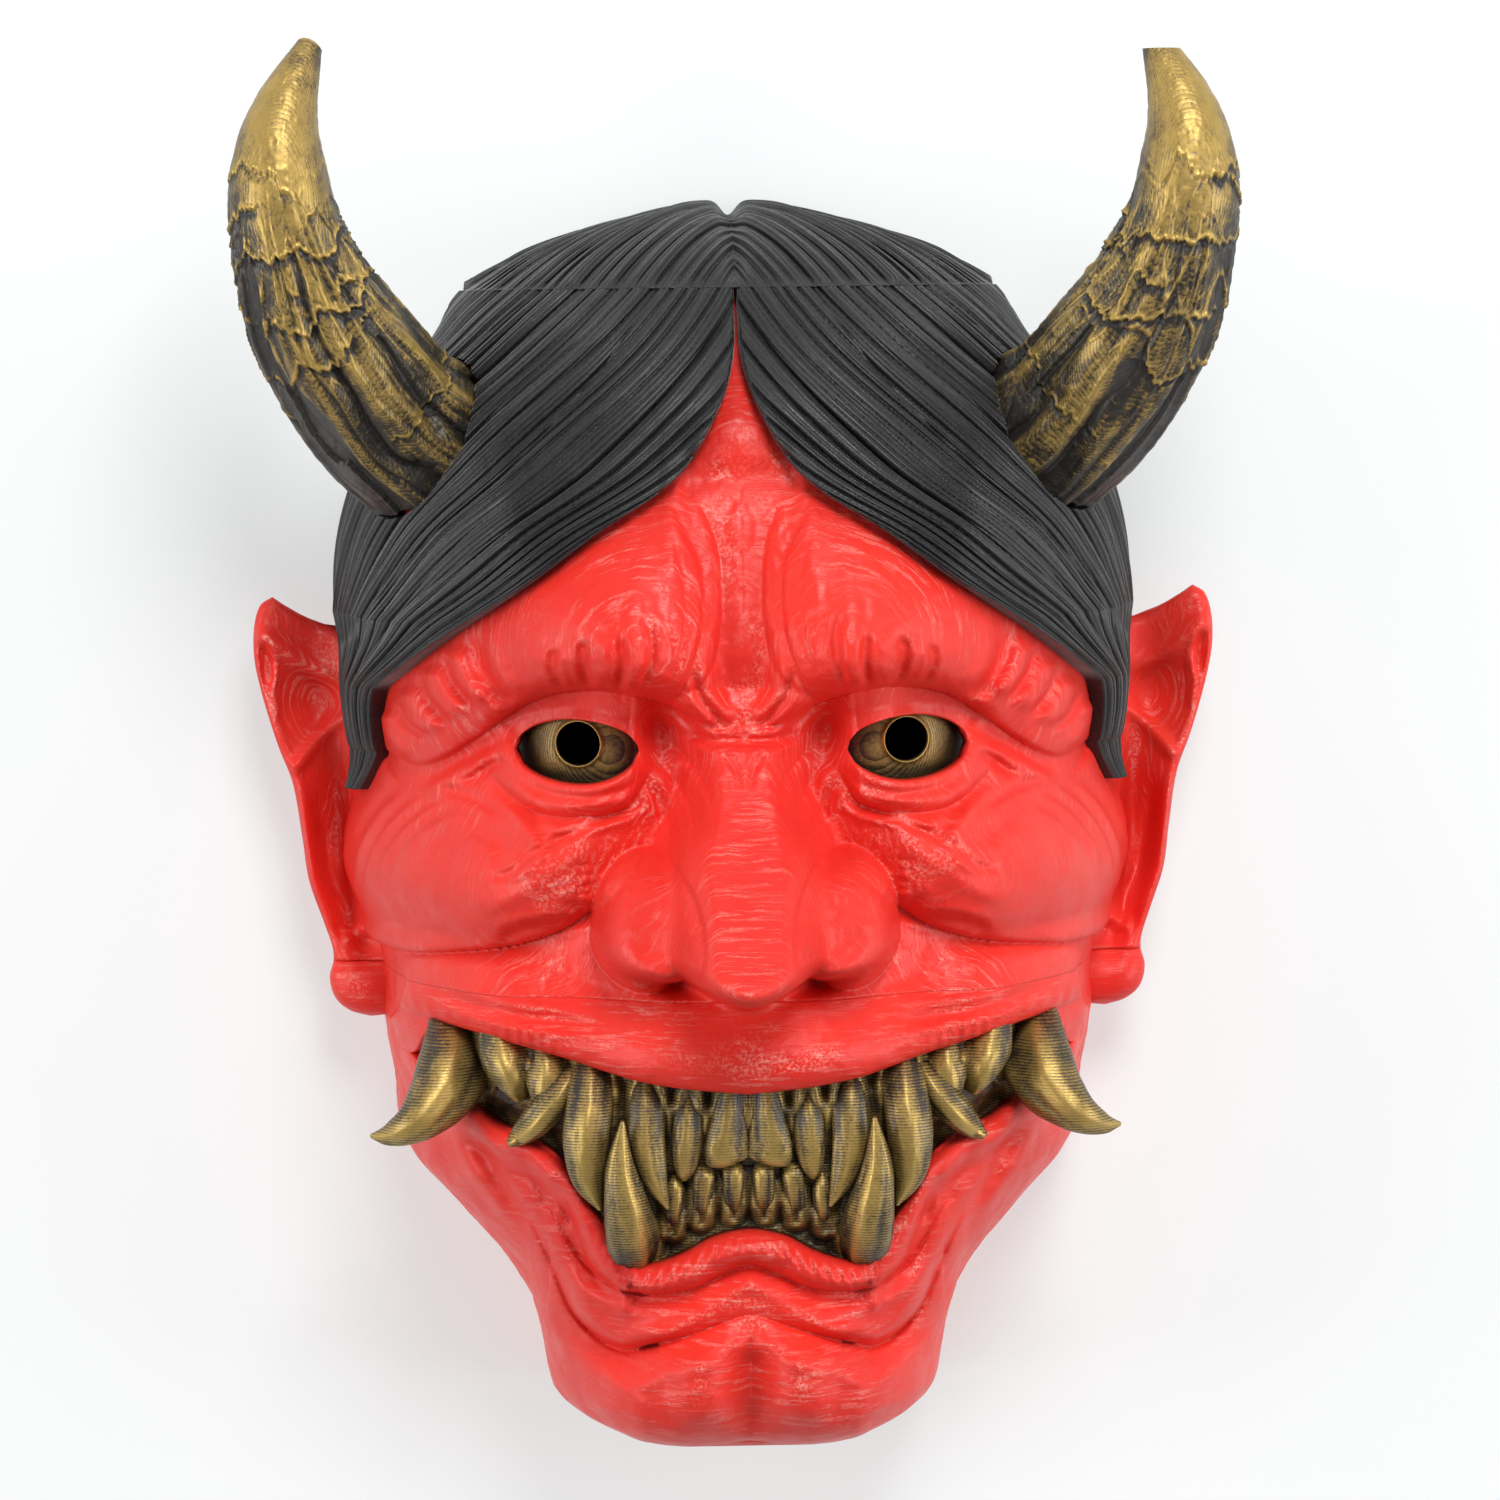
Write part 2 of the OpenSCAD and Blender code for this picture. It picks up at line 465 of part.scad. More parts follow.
crown_h = 17.8;
crown_t = 6;
crown_bend = 3.6;
crown_rows = [1, 0.86, 0.72, 0.58, 0.44, 0.32, 0.2, 0.1, 0];
crown_rise = [[0, 1], [0.2, 0.98], [0.4, 0.86], [0.6, 0.7], [0.8, 0.46], [0.92, 0.25], [1, 0.08]];
function crown_at(s, u, out, drop) =
    let(foot = skin(s, crown_z, out), h = (crown_h * sz - drop) * curve(crown_rise, abs(s)))
    [foot[0], foot[1] * (1 - u),
        crown_z + h * (1 - pow(1 - u, crown_bend)) - (drop == 0 ? 2 * exp(-pow(s * 20, 2)) * u : 0)];
module hair_crown() {
    across = [for (c = columns) max(-0.995, min(0.995, c))];
    color(black)
        shell(
            [for (u = crown_rows) [for (s = across) crown_at(s, u, hair_t, 0)]],
            [for (u = crown_rows) [for (s = across) crown_at(s, u, -wall, crown_t)]],
            [], false);
}

module left_horn() {
    color(gold)
        mirror([1, 0, 0])
            horn(0);
}
module right_horn() {
    color(gold)
        horn(horn_cut);
}
module left_horn_dowel() {
    color("wheat")
        mirror([1, 0, 0])
            horn_dowel_at(0);
}
module right_horn_dowel() {
    color("wheat")
        horn_dowel_at(0);
}

// Eye: a domed disc glued behind the opening, with the sight hole through it
ball_r = 15;
eye_wall = 2.5;
pupil_z = 0.4;
eye_disc_r = 15.5;
eye_disc_t = 2;
eye_share = (eye_in + eye_out) / 2;
eye_span = eye_disc_r / half_w(eye_level);
eye_turn = skin(eye_share + eye_span, eye_level, -wall) - skin(eye_share - eye_span, eye_level, -wall);
eye_tilt = atan2(eye_turn[1], eye_turn[0]);
eye_seat = skin(eye_share, eye_level, -wall);
// How far the inside of the wall stands behind a place on the disc's rim or face
function behind(r, a) =
    let(p = eye_seat + r * [cos(a) * cos(eye_tilt), cos(a) * sin(eye_tilt), sin(a)])
    (skin(p[0] / half_w(p[2]), p[2], -wall)[1] - p[1]) * cos(eye_tilt);
eye_sag = glue_gap + max([for (r = [0.6, 0.8, 1]) for (a = [0:15:345]) behind(r * eye_disc_r, a)]);
// How far the dome may stand out in front of the seat, clear of the wall round the opening
function lid_r(a) = 1 / norm([cos(a) / eye_w, sin(a) / eye_h]) / 2;
ball_out = -glue_gap - max([
    for (a = [0:15:345]) for (e = [0, 1.5, 3])
        let(r = lid_r(a) + e)
        behind(r, a) + sqrt(pow(ball_r, 2) - r * r) - ball_r]);
module eye() {
    difference() {
        translate(eye_seat)
            rotate([0, 0, eye_tilt])
                rotate([90, 0, 0])
                    difference() {
                        union() {
                            translate([0, 0, ball_out - ball_r])
                                sphere(r = ball_r, $fn = 64);
                            translate([0, 0, -eye_sag - eye_disc_t])
                                cylinder(r = eye_disc_r, h = eye_disc_t, $fn = 64);
                        }
                        translate([0, 0, -eye_sag - eye_disc_t - 2 * ball_r])
                            cylinder(r = 2 * ball_r, h = 2 * ball_r, $fn = 64);
                        translate([0, 0, ball_out - ball_r])
                            sphere(r = ball_r - eye_wall, $fn = 64);
                    }
        translate([eye_x, 0, pupil_z])
            rotate([90, 0, 0])
                cylinder(d = pupil_d, h = 2 * head_d, $fn = 64);
    }
}
module left_eye() {
    color(gold)
        mirror([1, 0, 0])
            eye();
}
module right_eye() {
    color(gold)
        eye();
}

// Teeth: curved claws that grow from a gum behind each lip
gum_t = 4;
gum_columns = [for (s = [-0.86:0.0573333:0.87]) s];
module gum(z_top, z_low, reach, sink) {
    rows = [for (i = [0:4]) mix(z_top, z_low, i / 4) * sz];
    cols = [for (s = gum_columns) s * reach];
    shell(
        [for (z = rows) [for (s = cols) skin(s, z, -wall - glue_gap - sink)]],
        [for (z = rows) [for (s = cols) skin(s, z, -wall - glue_gap - sink - gum_t)]],
        [], false);
}
function claw_rings(path, radii) =
    [for (i = [0:len(path) - 1]) ring(path[i], heading(path, i), radii[i], 8, [0.2, 1, 0.1])];
// Points across and down are given as x, z and the distance in front of the gum, beyond tusk_x as at tusk_x
tusk_x = 58;
function tooth_path(points) =
    [for (p = points)
        let(z = p[1] * sz, q = skin(min(tusk_x, p[0]) * sx / half_w(z), z, -wall))
        [p[0] * sx, q[1] - p[2], z]];
// Each upper tooth: its path as [x, z, in front], and its half width and half thickness along it
upper_set = [
    [[[2.9, -67, -2.5], [3.4, -73, 1.4], [4.3, -80, 3.2], [4.4, -83, 2.8]],
        [[1.6, 1.6], [2.9, 2.2], [4, 2.3], [3.6, 1.2]]],
    [[[11.6, -68, -2.5], [12, -74, 1.6], [12.4, -80, 3.4], [12.9, -86.6, 3.2]],
        [[1.5, 1.5], [2.9, 2.4], [3, 2.4], [0.7, 0.7]]],
    [[[20, -66, -2.5], [20.2, -72, 1.6], [20.2, -79, 4.6], [18.7, -86.6, 5.6], [16.3, -92.4, 4.8]],
        [[2.2, 2], [3.6, 3], [3.5, 3], [2.4, 2.2], [0.5, 0.5]]],
    [[[31, -65.5, -4], [31.2, -70, 3], [32.2, -78, 6.8], [32.2, -86, 8], [29.8, -92.8, 7]],
        [[3.4, 3], [4.6, 4], [4.6, 4.2], [3.3, 3], [0.6, 0.6]]],
    [[[34.5, -64.5, -2], [37.6, -69.6, 3.5], [41.6, -74.6, 6.6], [48, -80.2, 7]],
        [[2.4, 2.4], [3.4, 3.2], [3.3, 3], [0.8, 0.8]]],
    [[[40, -61, -3.5], [39.8, -65, 0.5], [40.4, -68.5, 2.6], [41.6, -72.6, 2.2]],
        [[4.4, 3.2], [5, 3.8], [4, 3.4], [1.4, 1.4]]],
    [[[49, -58.5, -4], [48.4, -62, 0], [47.2, -66, 3.2], [45.6, -71.2, 2.4]],
        [[5, 3.4], [5.4, 4], [4.4, 4], [1.6, 1.6]]],
    [[[57, -61, -4], [58, -63.5, 2.5], [59.2, -65.5, 9], [61.8, -70, 13.5], [66.8, -75.6, 15.5],
        [72, -78.6, 15], [76, -79.3, 13.5]],
        [[5.6, 2.2], [6.4, 3.2], [7.4, 5], [6.6, 5.6], [4.4, 4.2], [2.4, 2.3], [0.6, 0.6]]]];
lower_set = [
    [[[3.1, -97, -4.5], [3.1, -91, 1.2], [3, -86.5, 2], [3, -83.6, 0.8]],
        [[1.2, 1.2], [1.9, 1.7], [2.2, 1.8], [1.3, 0.8]]],
    [[[9.5, -98, -4.5], [9.4, -91.6, 1.2], [9, -87, 2], [8.8, -84, 0.8]],
        [[1.2, 1.2], [1.9, 1.7], [2.2, 1.8], [1.3, 0.8]]],
    [[[15.3, -100, -4.5], [15.1, -93.4, 1.4], [14.6, -86, 1.4]], [[1.2, 1.2], [1.9, 1.7], [0.8, 0.7]]],
    [[[23, -100, -5], [23.2, -97, 4.5], [24.6, -92.5, 9], [25.8, -83.5, 10], [25.1, -74, 8.6]],
        [[3.2, 2.4], [4.4, 3.8], [4.6, 4.2], [2.9, 2.8], [0.5, 0.5]]]];
module teeth(set) {
    for (tooth = set)
        for (side = [-1, 1])
            scale([side, 1, 1])
                loft(claw_rings(tooth_path(tooth[0]), tooth[1]));
}
module upper_teeth() {
    color(gold)
        union() {
            gum(-56, -77, 1, 1.4);
            teeth(upper_set);
        }
}
module lower_teeth() {
    color(gold)
        union() {
            gum(-79, -110, 0.55, 2.2);
            teeth(lower_set);
        }
}

upper_face();
lower_face();
hair_crown();
left_hair_lock();
right_hair_lock();
left_horn();
right_horn();
left_horn_dowel();
right_horn_dowel();
left_eye();
right_eye();
upper_teeth();
lower_teeth();
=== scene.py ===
"""Demon mask of the Noh stage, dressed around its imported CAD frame.

Sculpting is done in millimetres in the CAD's own axes: x to the viewer's right, the face towards -y, z up
from the pupils. Meshes are made in metres."""

import json
import math

import bpy
import numpy as np
from mathutils import Matrix, Vector

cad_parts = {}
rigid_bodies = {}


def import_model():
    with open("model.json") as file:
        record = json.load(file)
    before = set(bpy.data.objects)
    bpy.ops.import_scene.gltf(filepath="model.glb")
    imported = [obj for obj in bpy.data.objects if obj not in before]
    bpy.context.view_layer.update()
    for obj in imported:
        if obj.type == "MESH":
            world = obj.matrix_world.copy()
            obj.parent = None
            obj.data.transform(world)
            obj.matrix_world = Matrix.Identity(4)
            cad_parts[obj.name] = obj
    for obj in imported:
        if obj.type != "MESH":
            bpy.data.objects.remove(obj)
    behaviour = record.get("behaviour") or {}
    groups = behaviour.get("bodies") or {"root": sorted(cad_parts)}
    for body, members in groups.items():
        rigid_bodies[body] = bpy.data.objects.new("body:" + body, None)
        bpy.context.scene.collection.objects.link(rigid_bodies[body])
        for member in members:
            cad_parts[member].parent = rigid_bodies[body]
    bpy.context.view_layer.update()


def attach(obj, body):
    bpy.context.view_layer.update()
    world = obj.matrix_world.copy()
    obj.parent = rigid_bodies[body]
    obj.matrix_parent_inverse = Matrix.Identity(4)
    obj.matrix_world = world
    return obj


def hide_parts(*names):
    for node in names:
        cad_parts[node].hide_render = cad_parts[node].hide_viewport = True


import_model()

MM = 0.001
TAPER = 0.25  # share of a stroke over which each of its ends fades
SIDES = {-1: "left", 1: "right"}

# ---------------------------------------------------------------- curves and fields


def ramp(low, high, value):
    """0 up to low, 1 from high on, and smooth between them."""
    t = np.clip((value - low) / (high - low), 0.0, 1.0)
    return t * t * (3 - 2 * t)


def mix(a, b, t):
    return a + (b - a) * t


def curve(table, value):
    """Smooth curve through the points of a table of (position, value)."""
    table = np.asarray(table, float)
    at, to = table[:, 0], table[:, 1]
    low = np.clip(np.arange(len(at)) - 1, 0, None)
    high = np.clip(np.arange(len(at)) + 1, None, len(at) - 1)
    slopes = (to[high] - to[low]) / (at[high] - at[low])
    value = np.asarray(value, float)
    i = np.clip(np.searchsorted(at, value, side="right") - 1, 0, len(at) - 2)
    width = at[i + 1] - at[i]
    u = np.clip((value - at[i]) / width, 0.0, 1.0)
    return (
        to[i] * (1 + 2 * u) * (1 - u) ** 2
        + width * slopes[i] * u * (1 - u) ** 2
        + to[i + 1] * u * u * (3 - 2 * u)
        + width * slopes[i + 1] * u * u * (u - 1)
    )


def above(table, x, z):
    """Distance of (x, z) from the line z = curve(x), positive above it."""
    slope = curve(table, x + 0.5) - curve(table, x - 0.5)
    return (z - curve(table, x)) / np.sqrt(1 + slope * slope)


def bell(x, z, cx, cz, rx, rz):
    """A smooth hill round (cx, cz), which fades over rx across and rz up."""
    return np.exp(-(((x - cx) / rx) ** 2) - ((z - cz) / rz) ** 2)


def dome(x, z, cx, cz, rx, rz):
    return np.sqrt(np.clip(1 - ((x - cx) / rx) ** 2 - ((z - cz) / rz) ** 2, 0, None))


def peak(value, middle, width):
    """A smooth bump: 1 at the middle, fading over the width."""
    return np.exp(-(((value - middle) / width) ** 2))


def rounded(share):
    """A quarter of a circle: steep at 0, level at 1 and beyond."""
    return np.sqrt(1 - (1 - np.clip(share, 0, 1)) ** 2)


def bulge(v, rise, fall):
    """A rolled fold: steep at v = 0, round over the rise, and fading over the fall."""
    return rounded(v / rise) * (1 - ramp(rise, rise + fall, v))


def smooth_max(a, b, k):
    """The higher of two forms, blended over k where they meet."""
    return 0.5 * (a + b + np.sqrt((a - b) ** 2 + k * k)) - 0.25 * k


def hashed(i, j, seed):
    """A repeatable random number from 0 to 1 for each lattice point."""
    n = (i.astype(np.int64) * 374761393 + j.astype(np.int64) * 668265263 + seed * 144665) & 0x7FFFFFFF
    n = ((n ^ (n >> 13)) * 1274126177) & 0x7FFFFFFF
    return ((n ^ (n >> 16)) & 0xFFFF) / 65535.0


def noise(x, y, seed=0):
    """Smooth noise from -1 to 1 with one bump per unit."""
    x, y = np.broadcast_arrays(np.asarray(x, float), np.asarray(y, float))
    i, j = np.floor(x), np.floor(y)
    u, v = x - i, y - j
    u, v = u * u * (3 - 2 * u), v * v * (3 - 2 * v)
    low = mix(hashed(i, j, seed), hashed(i + 1, j, seed), u)
    high = mix(hashed(i, j + 1, seed), hashed(i + 1, j + 1, seed), u)
    return mix(low, high, v) * 2 - 1


def fractal(x, y, seed=0, octaves=3):
    total = 0.0
    for octave in range(octaves):
        total = total + noise(x * 2**octave, y * 2**octave, seed + octave) / 2**octave
    return total


def between(rows, t):
    """The smooth path through the rows of a table, at places t that count its rows."""
    rows = np.asarray(rows, float)
    index = np.arange(len(rows))
    return np.stack([curve(np.stack([index, column], 1), t) for column in rows.T], 1)


def spline(points):
    """A smooth line through the points, as a polyline with six steps from each to the next."""
    last = len(points) - 1
    return between(points, np.linspace(0, last, last * 6 + 1))


def unit(vectors):
    return vectors / np.linalg.norm(vectors, axis=1)[:, None]


def along_line(x, z, points):
    """Signed distance from a line (positive on its left as it runs) and the share run along it."""
    line = spline(points)
    best = np.full(x.shape, 1e9)
    side = np.zeros(x.shape)
    share = np.zeros(x.shape)
    count = len(line) - 1
    for k in range(count):
        a, d = line[k], line[k + 1] - line[k]
        length2 = max(d @ d, 1e-9)
        t = np.clip(((x - a[0]) * d[0] + (z - a[1]) * d[1]) / length2, 0, 1)
        ex, ez = x - a[0] - t * d[0], z - a[1] - t * d[1]
        dist = ex * ex + ez * ez
        near = dist < best
        best = np.where(near, dist, best)
        side = np.where(near, d[0] * ez - d[1] * ex, side)
        share = np.where(near, (k + t) / count, share)
    return np.sqrt(best) * np.where(side >= 0, 1, -1), share


def stroke(x, z, kind, height, width, points):
    """One mark of the sculptor: a groove, ridge or fold along a line, zero far away from it."""
    reach = width * (7.0 if kind == "fold" else 3.2)
    line = spline(points)
    low, high = line.min(0) - reach, line.max(0) + reach
    box = (x > low[0]) & (x < high[0]) & (z > low[1]) & (z < high[1])
    out = np.zeros(x.shape)
    if not box.any():
        return out
    dist, share = along_line(x[box], z[box], points)
    fade = ramp(0, TAPER, share) * (1 - ramp(1 - TAPER, 1, share))
    d = dist / width
    if kind == "ridge":
        form = np.exp(-d * d)
    elif kind == "groove":
        form = -np.exp(-d * d) + 0.35 * np.exp(-((np.abs(d) - 1.7) ** 2) * 1.6)
    else:
        form = rounded(d) * np.exp(-np.clip(d, 0, None) / 2.4) - 0.25 * np.exp(-d * d * 2.5)
    out[box] = height * form * fade
    return out


def strokes(x, z, marks):
    return sum(stroke(x, z, *mark) for mark in marks)


# ---------------------------------------------------------------- the head's plain form

WALL = 4.5
SEAM_Z, CROWN_Z, CHIN_Z = -50.0, 91.0, -145.3
# Half the face's width and its depth, by height
HALF_WIDTH = [
    (-146, 32.4), (-142.5, 36.4), (-139, 38.4), (-132, 40.8), (-124, 44.8), (-118, 48.5), (-111, 53.2),
    (-105, 58.5), (-99, 64), (-92.5, 70), (-86, 73), (-73, 73.5), (-62, 73), (-53, 72.5), (-40, 76),
    (-22, 81.5), (0, 79.5), (20, 79), (40, 78), (55, 75), (66, 70), (76, 63), (85, 55.5), (91, 49.5),
]
DEPTH = [
    (-146, 64), (-142, 74), (-137, 79), (-130, 82), (-115, 84), (-100, 86), (-85, 88), (-70, 92), (-55, 93),
    (-40, 88), (-20, 84), (0, 84), (20, 88), (40, 86), (60, 80), (80, 69), (91, 59),
]
SQUARENESS = 2.4
EYE_X, EYE_WIDTH, EYE_HEIGHT, EYE_LEVEL = 32.8, 25.0, 12.4, -0.8
MOUTH_OUT = 0.92


def half_width(z):
    return curve(HALF_WIDTH, z)


def depth(z):
    return curve(DEPTH, z)


def bow(s, z):
    """Share of the depth that is left at share s of the half width, squarer at the chin."""
    return np.sqrt(np.clip(1 - np.abs(s) ** (SQUARENESS + 0.8 * ramp(-124, -139, z)), 0, None))


# ---------------------------------------------------------------- the face's relief

# A LINE is the edge that a form of the face rises from, as (x, z), and a RISE is how far it stands out, by x.
# The nose goes by height: NOSE_LINE is how far its ridge stands out, and NOSE_HALF half its width.
BROW_LINE = [
    (0, 3), (10, 6), (16, 8.9), (22, 10.8), (28, 11.6), (36, 10.8), (42, 8.8), (48, 5), (54, 0.5), (60, -3.6),
    (66, -5.8), (72, -4),
]
BROW_RISE = [
    (0, 3), (4, 3.4), (9, 7.5), (16, 10.5), (28, 11.5), (40, 10.5), (48, 8), (54, 6.4), (62, 6), (70, 4.5),
    (76, 2), (80, 1),
]
NOSE_LINE = [
    (-55, 0), (-51.5, 1), (-50, 7), (-48.4, 20), (-46.6, 31), (-44, 35.8), (-41, 36.3), (-37, 34.6),
    (-30, 30), (-20, 22.5), (-10, 15), (0, 8.5), (6, 4), (12, 0),
]
NOSE_HALF = [(-50, 11), (-46, 13.5), (-40, 15), (-30, 14), (-20, 11.5), (-10, 8), (0, 7), (12, 9)]
CHEEK_LINE = [
    (14, -15), (19, -20), (24, -25.9), (33, -34.5), (44, -39.6), (57, -42.5), (67, -44.8), (80, -46),
]
NOSE_WING_Z = -37.0
CHEEK_RISE = [(14, 0), (20, 3.5), (27, 7), (36, 10.5), (50, 13), (65, 12.5), (76, 9), (84, 6)]
BAG_LINE = [(15, 0), (20, -7), (23, -11.6), (31, -13.2), (39.4, -13.2), (45, -11.2), (50, -7), (58, 1)]
LIP_RISE = [(0, 4), (15, 3), (30, -1), (38, 0), (49, 6), (62, 9), (72, 6), (80, 0)]
UPPER_LIP = [(0, -68.5), (21, -66.1), (36.6, -62), (50, -58.6), (64, -56.5), (72, -56)]
LOWER_LIP = [
    (-7, -98.6), (0, -97.2), (7, -98.6), (13, -101.9), (19.2, -104.3), (23.6, -104), (27.6, -98.6),
    (36.4, -84.6), (54, -75.5), (66, -66),
]
CHIN_LINE = [
    (-7, -117), (0, -114.8), (7, -117), (14, -119.8), (20.5, -122.4), (25, -124.4), (30.4, -123.4),
    (35.6, -118.5), (39.5, -109), (44, -98),
]
PANEL_LINE = [
    (-6.6, -107.6), (0, -105.2), (6.6, -107.6), (13.2, -110.4), (21.6, -111.2), (29, -109.4), (34, -105.4),
    (40, -94),
]

